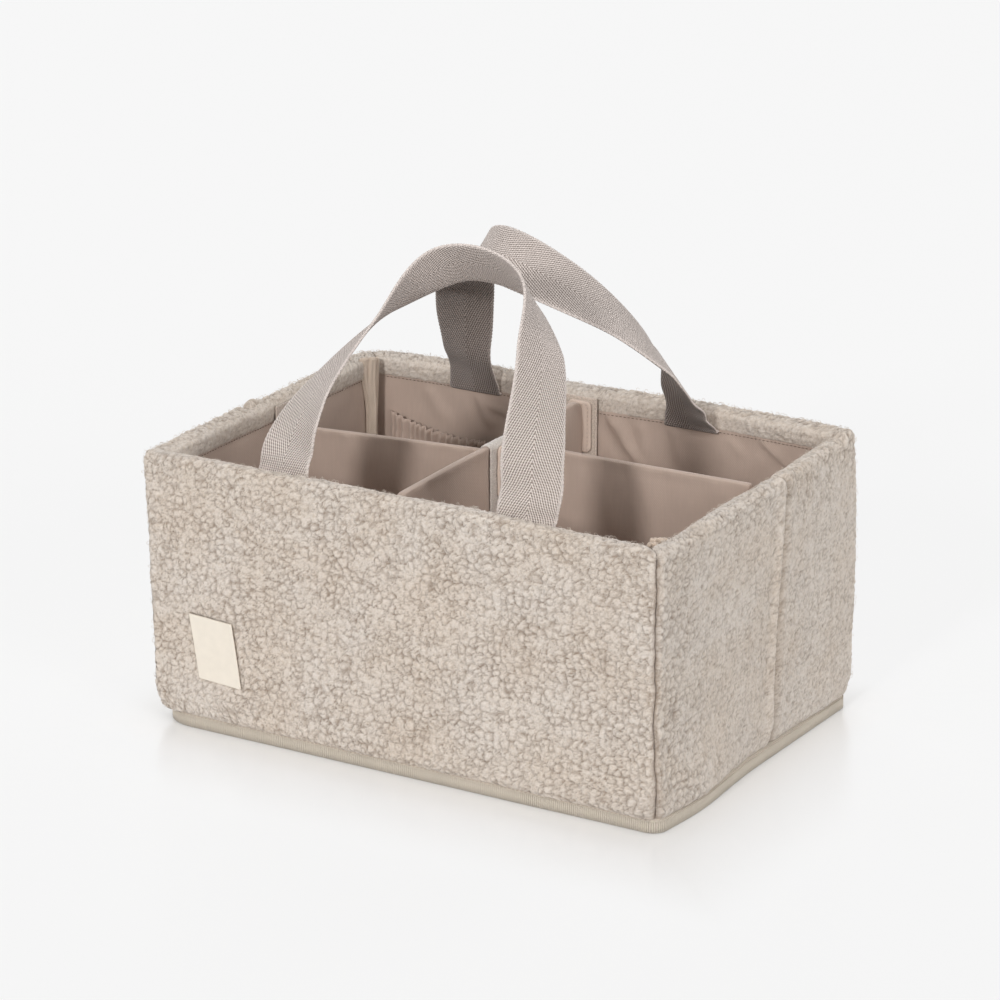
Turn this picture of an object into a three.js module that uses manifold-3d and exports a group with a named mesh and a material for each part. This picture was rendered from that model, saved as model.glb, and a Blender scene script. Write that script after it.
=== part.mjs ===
// Soft fleece caddy with a removable divider insert and two webbing handles.
// Millimetres, +Z up, origin on the floor under the middle of the caddy. The front wall faces -Y.
// An inset is a distance inwards from the outer face of a wall.

import * as THREE from 'three';
import { mergeVertices } from 'three/addons/utils/BufferGeometryUtils.js';
import Module from 'manifold-3d';

const wasm = await Module();
wasm.setup();

// Overall size of the fleece box
const caddyLength = 380;
const caddyWidth = 265;
const caddyHeight = 190;

// Clearance between neighbours, overrun of a cut, and the distance at which corner points are one
const gap = 0.3;
const cutOverrun = 2;
const mergeTolerance = 0.0001;

// Fleece shell, folded over the rim and down inside as a facing
const fleeceThickness = 6;
const facingThickness = 5;
const rimThickness = 5;
const facingDepth = 14;
const shellCornerRadius = 8;
const rimRounding = 4.5;
const arcSteps = 4;

// Stiffener boards in the walls; the end boards are halves with a fold channel between them
const wallBoardThickness = 2.5;
const boardEndRelief = 2;
const foldChannelWidth = 6;
const foldOffset = 19;

// Cotton lining
const liningThickness = 1.2;

// Webbing of the handles
const webbingWidth = 40;
const webbingThickness = 1.8;
const webbingTailLength = 34;

// Base: cloth, boards, floor lining and the tape that binds the edge
const baseClothThickness = 1.6;
const baseBoardThickness = 4;
const baseBoardRelief = 2;
const baseFoldGap = 6;
const floorLiningThickness = 1.3;
const bindingInset = 3;
const bindingThickness = 2.5;
const baseCornerRadius = 18;

// Bound seam allowances that stand inside the two seamed corners, turned across the corner
const seamTapeWidth = 15;
const seamTapeThickness = 3;
const seamTapeDrop = 4;
const seamTapeTurnDegrees = 62;

// Loop patches on the walls, and the hook tabs of the dividers that press on them
const patchWidth = 25;
const patchHeight = 50;
const patchThickness = 1;
const patchRise = 10;
const tabWidth = 18;
const tabHeight = 36;
const tabThickness = 2;
const tabBorder = 2;
const tabRounding = 4;

// Divider panels: a sewn cover over a board
const dividerThickness = 6;
const coverThickness = 1.2;
const dividerRounding = 11;
const crossDividerDrop = 5;
const leftDividerDrop = 15;
const rightDividerDrop = 3;
const crossDividerX = -11;
const leftDividerY = 6;
const rightDividerY = 10;

// Loop tape folded over the top of the cross divider, where the long dividers press on
const crossingTapeWidth = 28;
const crossingTapeDepth = 60;
const crossingTapeY = 8;

// Gathered pocket on the rear wall, from near the left wall to near the cross divider
const pocketWallDistance = 25;
const pocketDividerDistance = 17;
const pocketBottom = 18;
const pocketDrop = 39;
const pocketSag = 8;
const pocketThickness = 1.2;
const pocketBulge = 10;
const pocketFullness = 0.6;
const gatherDepth = 1.5;
const gatherCount = 21;
const stepsPerGather = 4;
const pocketRowShares = [0, 0.35, 0.65, 0.86, 1];
const elasticHeight = 6;
const elasticThickness = 0.8;
const elasticDrop = 4;
const elasticStartShare = 0.1;

// Bare cotton label sewn to the front, a little crooked, pressed into the pile
const labelWidth = 33;
const labelHeight = 45;
const labelThickness = 1.2;
const labelWallDistance = 50;
const labelZ = 58;
const labelTiltDegrees = 5.5;

// Handles. Each row of shares is x of half the span, height of the rise, lean of the reach and
// turn of the full turn of the webbing, from the left foot over the arch to the right foot.
const footStretch = 12;
const handleSteps = 56;
const frontHandle = {
  side: -1, centre: -5, span: 179, rise: 130, reach: 68, turnDegrees: 136,
  pathShares: [
    [-0.85, 0.36, 0.31, 0.36], [-0.46, 0.74, 0.68, 0.62], [-0.02, 1, 0.98, 1],
    [0.54, 0.95, 1, 0.98], [0.82, 0.68, 0.7, 0.6], [0.95, 0.34, 0.32, 0.36],
  ],
};
const rearHandle = {
  side: 1, centre: -13, span: 169, rise: 111, reach: 78, turnDegrees: 138,
  pathShares: [
    [-0.99, 0.47, 0.12, 0.2], [-0.71, 0.8, 0.54, 0.7], [-0.25, 1, 0.96, 1],
    [0.31, 0.9, 1, 0.88], [0.76, 0.67, 0.77, 0.62], [0.99, 0.37, 0.42, 0.36],
  ],
};

// Colours and finishes
const finishes = {
  fleece: { color: 0xcfc5b5, roughness: 1 },
  cotton: { color: 0xa5948a, roughness: 0.9 },
  webbing: { color: 0xb8aca3, roughness: 0.8 },
  grosgrain: { color: 0xa89f8f, roughness: 0.85 },
  hookAndLoop: { color: 0xb3a79b, roughness: 1 },
  canvas: { color: 0x9c9184, roughness: 0.95 },
  stiffener: { color: 0xd8d4cc, roughness: 0.6 },
  label: { color: 0xefe6d8, roughness: 0.9 },
  elastic: { color: 0xc8bfb4, roughness: 0.9 },
};

// Places that follow from the sizes
const halfLength = caddyLength / 2;
const halfWidth = caddyWidth / 2;
const floorTop = baseClothThickness + baseBoardThickness + floorLiningThickness + 2 * gap;
const bindingHeight = floorTop;
const wallBottom = floorTop + gap;
const boardInset = fleeceThickness + gap;
const behindBoardInset = boardInset + wallBoardThickness + gap;
const liningInset = behindBoardInset + webbingThickness + gap;
const liningFace = liningInset + liningThickness;
const facingFace = behindBoardInset + facingThickness;
const facingBottom = caddyHeight - facingDepth;
const boardTop = caddyHeight - rimThickness - gap;
const strapLegTop = facingBottom - gap;
const liningTop = strapLegTop - webbingThickness - gap;
const patchInset = facingFace + gap;
const patchTop = facingBottom + patchRise;
const tabInset = patchInset + patchThickness + gap;
const tabTop = patchTop - tabBorder;
const dividerInset = tabInset + tabThickness + gap;
const dividerBottom = floorTop + gap;
const tapeOuter = dividerThickness / 2 + gap + patchThickness;
const strapInset = facingFace + gap + webbingThickness / 2;
const stubTop = caddyHeight + gap;
const hingeHeight = stubTop + gap + webbingThickness / 2;
const labelX = -halfLength + labelWallDistance;
const pocketLeft = -halfLength + pocketWallDistance;
const pocketRight = crossDividerX - pocketDividerDistance;
const pocketTop = caddyHeight - pocketDrop;
const crossDividerTop = caddyHeight - crossDividerDrop;
const leftDividerTop = caddyHeight - leftDividerDrop;
const rightDividerTop = caddyHeight - rightDividerDrop;

const caddy = new THREE.Group();

function addPart(name, geometry, finish) {
  const material = new THREE.MeshStandardMaterial({ metalness: 0, ...finishes[finish] });
  const mesh = new THREE.Mesh(geometry, material);
  mesh.name = name;
  caddy.add(mesh);
  return mesh;
}

// Solids and cuts

function welded(geometry) {
  const bare = new THREE.BufferGeometry();
  bare.setAttribute('position', geometry.getAttribute('position'));
  if (geometry.index) bare.setIndex(geometry.index);
  return mergeVertices(bare, mergeTolerance);
}

function toSolid(geometry) {
  const mesh = welded(geometry);
  const triangles = [];
  const index = mesh.index.array;
  for (let i = 0; i < index.length; i += 3) {
    const [a, b, c] = [index[i], index[i + 1], index[i + 2]];
    if (a !== b && b !== c && c !== a) triangles.push(a, b, c);
  }
  return new wasm.Manifold(new wasm.Mesh({
    numProp: 3,
    vertProperties: new Float32Array(mesh.getAttribute('position').array),
    triVerts: new Uint32Array(triangles),
  }));
}

function fromSolid(solid) {
  const mesh = solid.getMesh();
  const geometry = new THREE.BufferGeometry();
  geometry.setAttribute('position', new THREE.BufferAttribute(new Float32Array(mesh.vertProperties), 3));
  geometry.setIndex(Array.from(mesh.triVerts));
  return geometry;
}

function subtract(geometry, ...cuts) {
  return fromSolid(cuts.reduce((solid, cut) => solid.subtract(toSolid(cut)), toSolid(geometry)));
}

// Six times the volume that the triangles enclose, negative where they face inwards
function signedVolume(points, triangles) {
  let sum = 0;
  for (let i = 0; i < triangles.length; i += 3) {
    const [a, b, c] = [0, 1, 2].map((k) => points[triangles[i + k]]);
    sum += a.dot(new THREE.Vector3().crossVectors(b, c));
  }
  return sum;
}

// A closed solid through a row of rings, each ring a list of as many points, with a cap at both ends
function loft(rings, outline) {
  const count = rings[0].length;
  const points = rings.flat();
  const triangles = [];
  for (let r = 0; r < rings.length - 1; r++) {
    for (let i = 0; i < count; i++) {
      const a = r * count + i;
      const b = r * count + ((i + 1) % count);
      triangles.push(a, b, b + count, a, b + count, a + count);
    }
  }
  const last = points.length - count;
  for (const [a, b, c] of THREE.ShapeUtils.triangulateShape(outline, [])) {
    triangles.push(c, b, a, last + a, last + b, last + c);
  }
  const ringArea = THREE.ShapeUtils.area(outline);
  if (ringArea < 0) {
    for (let i = (rings.length - 1) * count * 6; i < triangles.length; i += 3) {
      [triangles[i], triangles[i + 1]] = [triangles[i + 1], triangles[i]];
    }
  }
  if (signedVolume(points, triangles) < 0) {
    for (let i = 0; i < triangles.length; i += 3) {
      [triangles[i], triangles[i + 1]] = [triangles[i + 1], triangles[i]];
    }
  }
  const geometry = new THREE.BufferGeometry().setFromPoints(points);
  geometry.setIndex(triangles);
  return fromSolid(toSolid(geometry));
}

function boxBetween(low, high) {
  const size = high.map((value, axis) => value - low[axis]);
  const box = new THREE.BoxGeometry(...size);
  box.translate(...high.map((value, axis) => (value + low[axis]) / 2));
  return box;
}

function roundedRectangle(length, width, radius) {
  const shape = new THREE.Shape();
  const x = length / 2 - radius;
  const y = width / 2 - radius;
  shape.absarc(x, y, radius, 0, Math.PI / 2);
  shape.absarc(-x, y, radius, Math.PI / 2, Math.PI);
  shape.absarc(-x, -y, radius, Math.PI, Math.PI * 1.5);
  shape.absarc(x, -y, radius, Math.PI * 1.5, Math.PI * 2);
  return shape;
}

function plate(shape, bottom, top) {
  const geometry = new THREE.ExtrudeGeometry(shape, {
    depth: top - bottom, bevelEnabled: false, curveSegments: arcSteps,
  });
  geometry.translate(0, 0, bottom);
  return geometry;
}

// Walls. Both shells, and both linings, are one cloth that bends round a plain corner and is
// seamed to the other at the two corners beside it, so the second is the first turned half round.

const seamGap = gap / Math.SQRT2;

// Plan places of an inset along the cloth: front right seam, bend at the front left, rear left seam
function planStations(inset) {
  const radius = Math.max(shellCornerRadius - inset, 0);
  const reach = Math.max(shellCornerRadius, inset);
  const stations = [[halfLength - inset - seamGap, -halfWidth + inset]];
  for (let i = 0; i <= arcSteps; i++) {
    const angle = Math.PI * 1.5 - (Math.PI / 2) * (i / arcSteps);
    stations.push([
      -halfLength + reach + radius * Math.cos(angle),
      -halfWidth + reach + radius * Math.sin(angle),
    ]);
  }
  stations.push([-halfLength + inset, halfWidth - inset - seamGap]);
  return stations;
}

function bentWall(profile) {
  const plans = profile.map((point) => planStations(point.x));
  const rings = plans[0].map((_, station) => profile.map(
    (point, i) => new THREE.Vector3(...plans[i][station], point.y),
  ));
  return loft(rings, profile);
}

function arcPoints(centreX, centreY, radius, start, end) {
  const points = [];
  for (let i = 0; i <= arcSteps; i++) {
    const angle = start + (end - start) * (i / arcSteps);
    points.push(new THREE.Vector2(centreX + radius * Math.cos(angle), centreY + radius * Math.sin(angle)));
  }
  return points;
}

// Section of the fleece: outer face, rounded rim, facing with its turned edge, slot for the board
function shellProfile() {
  const roundTop = caddyHeight - rimRounding;
  return [
    new THREE.Vector2(0, wallBottom),
    ...arcPoints(rimRounding, roundTop, rimRounding, Math.PI, Math.PI / 2),
    ...arcPoints(facingFace - rimRounding, roundTop, rimRounding, Math.PI / 2, 0),
    new THREE.Vector2(facingFace, facingBottom),
    new THREE.Vector2(behindBoardInset, facingBottom),
    new THREE.Vector2(behindBoardInset, caddyHeight - rimThickness),
    new THREE.Vector2(fleeceThickness, caddyHeight - rimThickness),
    new THREE.Vector2(fleeceThickness, wallBottom),
  ];
}

function labelBox(border, depth) {
  const front = -halfWidth - (border > 0 ? cutOverrun : 0);
  const box = boxBetween(
    [-labelWidth / 2 - border, front, -labelHeight / 2 - border],
    [labelWidth / 2 + border, -halfWidth + depth, labelHeight / 2 + border],
  );
  box.rotateY(THREE.MathUtils.degToRad(-labelTiltDegrees));
  box.translate(labelX, 0, labelZ);
  return box;
}

function addShells() {
  const shell = bentWall(shellProfile());
  const recess = labelBox(gap, labelThickness + gap);
  addPart('front_left_shell', subtract(shell, recess), 'fleece');
  addPart('rear_right_shell', shell, 'fleece').rotation.z = Math.PI;
  addPart('front_label', labelBox(0, labelThickness), 'label');
}

function addLinings() {
  const lining = bentWall([
    new THREE.Vector2(liningInset, wallBottom), new THREE.Vector2(liningInset, liningTop),
    new THREE.Vector2(liningFace, liningTop), new THREE.Vector2(liningFace, wallBottom),
  ]);
  addPart('front_left_lining', lining, 'cotton');
  addPart('rear_right_lining', lining.clone(), 'cotton').rotation.z = Math.PI;
}

function addWallBoards() {
  const x = halfLength - boardInset;
  const y = halfWidth - boardInset;
  const longEnd = x - boardEndRelief;
  const long = boxBetween([-longEnd, -y, wallBottom], [longEnd, -y + wallBoardThickness, boardTop]);
  addPart('front_wall_board', long, 'stiffener');
  addPart('rear_wall_board', long.clone(), 'stiffener').rotation.z = Math.PI;
  const shortEnd = y - wallBoardThickness - gap;
  const spans = {
    front: [-shortEnd, foldOffset - foldChannelWidth / 2],
    rear: [foldOffset + foldChannelWidth / 2, shortEnd],
  };
  for (const [place, [from, to]] of Object.entries(spans)) {
    const board = boxBetween([x - wallBoardThickness, from, wallBottom], [x, to, boardTop]);
    addPart(`right_wall_${place}_board`, board, 'stiffener');
    const opposite = place === 'front' ? 'rear' : 'front';
    addPart(`left_wall_${opposite}_board`, board.clone(), 'stiffener').rotation.z = Math.PI;
  }
}

// Base

function basePlan(inset) {
  return roundedRectangle(caddyLength - 2 * inset, caddyWidth - 2 * inset,
    baseCornerRadius - (inset - bindingInset));
}

function addBase() {
  const inner = bindingInset + bindingThickness;
  const ring = basePlan(bindingInset);
  ring.holes.push(new THREE.Path(basePlan(inner).getPoints(arcSteps)));
  addPart('base_binding', plate(ring, 0, bindingHeight), 'grosgrain');

  const boardBottom = baseClothThickness + gap;
  const boardTopHeight = boardBottom + baseBoardThickness;
  addPart('base_cloth', plate(basePlan(inner + gap), 0, baseClothThickness), 'canvas');
  addPart('floor_lining', plate(basePlan(inner + gap), boardTopHeight + gap, floorTop), 'cotton');
  const board = plate(basePlan(inner + gap + baseBoardRelief), boardBottom, boardTopHeight);
  const farCorner = [halfLength, halfWidth, boardTopHeight + cutOverrun];
  const offHalf = boxBetween([-halfLength, -baseFoldGap / 2, boardBottom - cutOverrun], farCorner);
  const half = subtract(board, offHalf);
  addPart('base_front_board', half, 'stiffener');
  addPart('base_rear_board', half.clone(), 'stiffener').rotation.z = Math.PI;
}

// Corner seams and wall patches

function addSeamTapes() {
  const turn = THREE.MathUtils.degToRad(seamTapeTurnDegrees);
  const [w, t] = [seamTapeWidth / 2, seamTapeThickness / 2];
  const tape = boxBetween([-w, -t, wallBottom], [w, t, caddyHeight - seamTapeDrop]);
  tape.rotateZ(turn);
  const fromWalls = facingFace + gap;
  tape.translate(-halfLength + fromWalls + w * Math.cos(turn) + t * Math.sin(turn),
    halfWidth - fromWalls - w * Math.sin(turn) - t * Math.cos(turn), 0);
  addPart('rear_left_seam_tape', tape, 'cotton');
  addPart('front_right_seam_tape', tape.clone(), 'cotton').rotation.z = Math.PI;
}

// A flat piece that stands upright: its outline in the wall's plane, then its thickness outwards
function uprightPiece(shape, thickness, centreZ) {
  const geometry = new THREE.ExtrudeGeometry(shape, {
    depth: thickness, bevelEnabled: false, curveSegments: arcSteps,
  });
  geometry.rotateX(Math.PI / 2);
  geometry.translate(0, thickness, centreZ);
  return geometry;
}

// Turn of a wall from the front wall, how far it lies from the middle, and its place along itself
const walls = {
  front: { turn: 0, reach: halfWidth, along: crossDividerX },
  right: { turn: Math.PI / 2, reach: halfLength, along: rightDividerY },
  rear: { turn: Math.PI, reach: halfWidth, along: -crossDividerX },
  left: { turn: Math.PI * 1.5, reach: halfLength, along: -leftDividerY },
};

function onWall(geometry, wall, inset) {
  geometry.translate(wall.along, -wall.reach + inset, 0);
  geometry.rotateZ(wall.turn);
  return geometry;
}

function addWallPatches() {
  for (const [name, wall] of Object.entries(walls)) {
    const shape = roundedRectangle(patchWidth, patchHeight, patchThickness);
    const patch = uprightPiece(shape, patchThickness, patchTop - patchHeight / 2);
    addPart(`${name}_wall_patch`, onWall(patch, wall, patchInset), 'hookAndLoop');
  }
}

// Dividers

// Outline of a divider from the floor up, with rounded top corners
function dividerOutline(length, top, bottom, radius) {
  const shape = new THREE.Shape();
  const x = length / 2;
  shape.moveTo(-x, bottom);
  shape.lineTo(x, bottom);
  shape.absarc(x - radius, top - radius, radius, 0, Math.PI / 2);
  shape.absarc(-x + radius, top - radius, radius, Math.PI / 2, Math.PI);
  return shape;
}

function dividerSlab(length, top, bottom, radius, thickness) {
  const slab = uprightPiece(dividerOutline(length, top, bottom, radius), thickness, 0);
  slab.translate(0, -thickness / 2, 0);
  return slab;
}

function addDividerPanel(name, length, top, place) {
  const cavity = dividerThickness - 2 * coverThickness;
  const outer = dividerSlab(length, top, dividerBottom, dividerRounding, dividerThickness);
  const hollow = dividerSlab(length - 2 * coverThickness, top - coverThickness,
    dividerBottom - cutOverrun, dividerRounding - coverThickness, cavity);
  const skin = coverThickness + gap;
  const board = dividerSlab(length - 2 * skin, top - skin, dividerBottom,
    dividerRounding - skin, cavity - 2 * gap);
  addPart(`${name}_cover`, place(subtract(outer, hollow)), 'cotton');
  addPart(`${name}_board`, place(board), 'stiffener');
}

function tabPiece() {
  const shape = roundedRectangle(tabWidth, tabHeight, tabRounding);
  return uprightPiece(shape, tabThickness, tabTop - tabHeight / 2);
}

function addCrossDivider() {
  const place = (geometry) => geometry.rotateZ(Math.PI / 2).translate(crossDividerX, 0, 0);
  addDividerPanel('cross_divider', caddyWidth - 2 * dividerInset, crossDividerTop, place);
  addPart('cross_divider_front_tab', onWall(tabPiece(), walls.front, tabInset), 'cotton');
  addPart('cross_divider_rear_tab', onWall(tabPiece(), walls.rear, tabInset), 'cotton');

  const low = crossDividerTop - crossingTapeDepth;
  const inner = dividerThickness / 2 + gap;
  const tapeTop = crossDividerTop + gap + patchThickness;
  const tape = boxBetween([crossDividerX - tapeOuter, crossingTapeY - crossingTapeWidth / 2, low],
    [crossDividerX + tapeOuter, crossingTapeY + crossingTapeWidth / 2, tapeTop]);
  const slot = boxBetween(
    [crossDividerX - inner, crossingTapeY - crossingTapeWidth, low - cutOverrun],
    [crossDividerX + inner, crossingTapeY + crossingTapeWidth, crossDividerTop + gap],
  );
  addPart('crossing_loop_tape', subtract(tape, slot), 'hookAndLoop');
}

// A half divider from an end wall to the crossing, with a hook tab at both ends
function addHalfDivider(name, sign, y, top, wall) {
  const inner = crossDividerX + sign * (tapeOuter + gap);
  const outerEnd = sign * (halfLength - dividerInset);
  const innerEnd = inner + sign * (tabThickness + gap);
  const middle = (outerEnd + innerEnd) / 2;
  const place = (geometry) => geometry.translate(middle, y, 0);
  addDividerPanel(name, Math.abs(outerEnd - innerEnd), top, place);
  const drop = Math.min(top - tabTop - tabBorder, 0);
  const outerTab = onWall(tabPiece(), wall, tabInset).translate(0, 0, drop);
  addPart(`${name}_outer_tab`, outerTab, 'cotton');
  const innerTab = tabPiece().rotateZ(-sign * Math.PI / 2).translate(inner, y, drop);
  addPart(`${name}_inner_tab`, innerTab, 'cotton');
}

// Pocket

// How far the pocket stands off the lining at its hem, from one side seam to the other
function hemBulge(share) {
  return pocketBulge * Math.sin(Math.PI * share) ** pocketFullness;
}

function pocketSurface(share, rowShare) {
  const top = pocketTop - pocketSag * Math.sin(Math.PI * share);
  const lift = Math.sin((Math.PI / 2) * rowShare);
  const fold = gatherDepth * (1 - Math.cos(2 * Math.PI * gatherCount * share)) / 2;
  return {
    x: pocketLeft + (pocketRight - pocketLeft) * share,
    y: halfWidth - liningFace - gap - hemBulge(share) * lift - fold * rowShare,
    z: pocketBottom + (top - pocketBottom) * rowShare,
  };
}

function addPocket() {
  const columns = gatherCount * stepsPerGather;
  const rings = [];
  for (let c = 0; c <= columns; c++) {
    const line = pocketRowShares.map((row) => pocketSurface(c / columns, row));
    const back = line.map((p) => new THREE.Vector3(p.x, p.y, p.z));
    const front = line.map((p) => new THREE.Vector3(p.x, p.y - pocketThickness, p.z)).reverse();
    rings.push([...back, ...front]);
  }
  const outline = rings[0].map((p) => new THREE.Vector2(p.y, p.z));
  addPart('rear_pocket', loft(rings, outline), 'cotton');

  const elasticRings = [];
  for (let c = 0; c <= gatherCount; c++) {
    const share = elasticStartShare + (1 - 2 * elasticStartShare) * (c / gatherCount);
    const { x, z } = pocketSurface(share, 1);
    const y = halfWidth - liningFace - hemBulge(share) + gap;
    const top = z - elasticDrop;
    elasticRings.push([
      new THREE.Vector3(x, y, top), new THREE.Vector3(x, y + elasticThickness, top),
      new THREE.Vector3(x, y + elasticThickness, top - elasticHeight),
      new THREE.Vector3(x, y, top - elasticHeight),
    ]);
  }
  const elasticOutline = elasticRings[0].map((p) => new THREE.Vector2(p.y, p.z));
  addPart('pocket_elastic', loft(elasticRings, elasticOutline), 'elastic');
}

// Handles

// Sewn end of a strap: up in front of the facing, and behind the lining through the seam
function addStrapEnds(name, handle) {
  const near = facingFace + gap;
  const far = near + webbingThickness;
  const tailBottom = strapLegTop - webbingTailLength;
  const profile = [
    [behindBoardInset, tailBottom], [behindBoardInset + webbingThickness, tailBottom],
    [behindBoardInset + webbingThickness, strapLegTop - webbingThickness],
    [far, strapLegTop - webbingThickness], [far, stubTop], [near, stubTop],
    [near, strapLegTop], [behindBoardInset, strapLegTop],
  ].map(([inset, z]) => new THREE.Vector2(inset, z));
  for (const [end, sign] of [['left', -1], ['right', 1]]) {
    const middle = handle.centre + sign * handle.span / 2;
    const rings = [-1, 1].map((edge) => profile.map((p) => new THREE.Vector3(
      middle + edge * webbingWidth / 2, handle.side * (halfWidth - p.x), p.y,
    )));
    addPart(`${name}_${end}_end`, loft(rings, profile), 'webbing');
  }
}

// Centre line points and turns of the webbing, foot to foot
function handleRoute(handle) {
  const inwards = -handle.side;
  const footY = handle.side * (halfWidth - strapInset);
  const point = (x, height, lean) => new THREE.Vector3(
    handle.centre + x * handle.span / 2, footY + inwards * lean, hingeHeight + height,
  );
  const leanAngle = Math.atan2(handle.reach, handle.rise);
  const footHeight = footStretch * Math.cos(leanAngle);
  const footLean = footStretch * Math.sin(leanAngle);
  const rows = handle.pathShares;
  const points = [
    point(-1, 0, 0), point(-1, footHeight, footLean),
    ...rows.map(([x, height, lean]) => point(x, height * handle.rise, lean * handle.reach)),
    point(1, footHeight, footLean), point(1, 0, 0),
  ];
  const turns = [0, 0, ...rows.map((row) => row[3]), 0, 0];
  return { points, turns };
}

// The strap keeps its width square to its run and turns about it; both heels are rounded off
function addHandle(name, handle) {
  const { points, turns } = handleRoute(handle);
  const curve = new THREE.CatmullRomCurve3(points);
  const turnCurve = new THREE.CatmullRomCurve3(turns.map((t) => new THREE.Vector3(t, 0, 0)), false,
    'catmullrom');
  const fullTurn = THREE.MathUtils.degToRad(handle.turnDegrees) * handle.side;
  const rings = [];
  const addRing = (centre, tangent, turn, thicknessShare) => {
    const across = new THREE.Vector3(0, 1, 0);
    across.addScaledVector(tangent, -across.dot(tangent)).normalize();
    const width = new THREE.Vector3().crossVectors(across, tangent).multiplyScalar(Math.cos(turn));
    width.addScaledVector(across, Math.sin(turn));
    const normal = new THREE.Vector3().crossVectors(tangent, width).normalize();
    const w = webbingWidth / 2;
    const t = thicknessShare * webbingThickness / 2;
    rings.push([[w, t], [-w, t], [-w, -t], [w, -t]].map(
      ([a, b]) => centre.clone().addScaledVector(width, a).addScaledVector(normal, b),
    ));
  };
  const heelReach = Math.cos(Math.PI / 6) * webbingThickness / 2;
  const heelThicknessShare = Math.sin(Math.PI / 6);
  for (let i = 0; i <= handleSteps; i++) {
    const t = i / handleSteps;
    const centre = curve.getPoint(t);
    const tangent = curve.getTangent(t);
    const turn = fullTurn * turnCurve.getPoint(t).x;
    const beyond = (way) => centre.clone().addScaledVector(tangent, way * heelReach);
    if (i === 0) addRing(beyond(-1), tangent, turn, heelThicknessShare);
    addRing(centre, tangent, turn, 1);
    if (i === handleSteps) addRing(beyond(1), tangent, turn, heelThicknessShare);
  }
  const outline = [[1, 1], [-1, 1], [-1, -1], [1, -1]].map(([a, b]) => new THREE.Vector2(a, b));
  addPart(name, loft(rings, outline), 'webbing');
}

addShells();
addLinings();
addWallBoards();
addBase();
addSeamTapes();
addWallPatches();
addCrossDivider();
addHalfDivider('left_divider', -1, leftDividerY, leftDividerTop, walls.left);
addHalfDivider('right_divider', 1, rightDividerY, rightDividerTop, walls.right);
addPocket();
for (const [name, handle] of Object.entries({ front_handle: frontHandle, rear_handle: rearHandle })) {
  addStrapEnds(name, handle);
  addHandle(name, handle);
}

export default caddy;
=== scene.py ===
"""Looks of a soft fleece nursery caddy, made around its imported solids.

Lengths inside the making functions are millimetres, +Z up, the front wall with the label faces -Y.
An inset is a distance inwards from the outer face of a wall.
"""

import math

import bpy
import numpy as np
from bpy.props import FloatProperty, FloatVectorProperty, IntProperty, PointerProperty
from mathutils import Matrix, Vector


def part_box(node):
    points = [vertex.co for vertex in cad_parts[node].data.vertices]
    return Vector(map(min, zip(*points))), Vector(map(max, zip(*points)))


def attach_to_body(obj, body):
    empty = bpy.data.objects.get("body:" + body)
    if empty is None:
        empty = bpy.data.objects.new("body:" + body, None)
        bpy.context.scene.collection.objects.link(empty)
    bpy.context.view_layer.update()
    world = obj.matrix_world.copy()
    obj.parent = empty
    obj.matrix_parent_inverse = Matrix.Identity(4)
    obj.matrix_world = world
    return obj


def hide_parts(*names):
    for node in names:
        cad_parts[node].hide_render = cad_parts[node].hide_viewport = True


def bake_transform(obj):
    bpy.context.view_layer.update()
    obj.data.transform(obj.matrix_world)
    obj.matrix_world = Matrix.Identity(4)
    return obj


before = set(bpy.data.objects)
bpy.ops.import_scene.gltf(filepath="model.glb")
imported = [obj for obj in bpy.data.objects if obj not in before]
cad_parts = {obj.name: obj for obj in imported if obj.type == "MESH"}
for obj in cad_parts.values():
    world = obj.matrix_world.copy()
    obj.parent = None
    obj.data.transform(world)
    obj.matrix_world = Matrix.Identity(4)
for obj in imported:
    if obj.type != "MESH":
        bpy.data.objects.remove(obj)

bl_info = {
    "name": "Soft Fleece Caddy",
    "version": (1, 0, 0),
    "blender": (4, 5, 0),
    "location": "3D View > Sidebar > Caddy",
    "description": "Dresses the packed caddy in fleece, lining, pocket, dividers and handles",
    "category": "Object",
}

MM = 0.001


def node_box(node):
    """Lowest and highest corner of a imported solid, in millimetres."""
    return [np.array(corner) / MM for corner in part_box(node)]


shell_low, shell_high = node_box("front_left_shell")
HALF_LENGTH = float(-shell_low[0])
HALF_WIDTH = float(-shell_low[1])
HEIGHT = float(shell_high[2])
WALL_BOTTOM = float(shell_low[2])

# Layers of a wall, as insets from its outer face
FACING_FACE = 14.1
FACING_DROP = 14.5
SEAM_TAPE_RISE = 5.0
BOARD_INSET = 6.3
BOARD_THICKNESS = 2.5
BOARD_DROP = 6.5
TAIL_INSET = 10.0
LINING_MIDDLE = 11.9
LINING_FACE = 12.4
LINING_THICKNESS = 0.9
PATCH_INSET = 14.4
TAB_INSET = 15.7
STRAP_INSET = 15.3

# Places along the walls
FOLD_OFFSET = 26.0
CROSS_X = -11.0
LEFT_DIVIDER_Y = 6.0
RIGHT_DIVIDER_Y = 10.0
LABEL_PLACE = (-140.0, 58.0)
LABEL_SIZE = (33.0, 45.0)
LABEL_LEAN = 7.5
LABEL_FALL = 3.2
PATCH_TOP = 186.0
PATCH_SIZE = (25, 50)
TAB_SIZE = (18, 36)
HINGE_HEIGHT = 191.5

# Turn of a wall from the front one, its distance from the middle, and where its patch sits along it
WALLS = {
    "front": (0.0, HALF_WIDTH, CROSS_X),
    "right": (90.0, HALF_LENGTH, RIGHT_DIVIDER_Y),
    "rear": (180.0, HALF_WIDTH, -CROSS_X),
    "left": (270.0, HALF_LENGTH, -LEFT_DIVIDER_Y),
}

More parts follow.
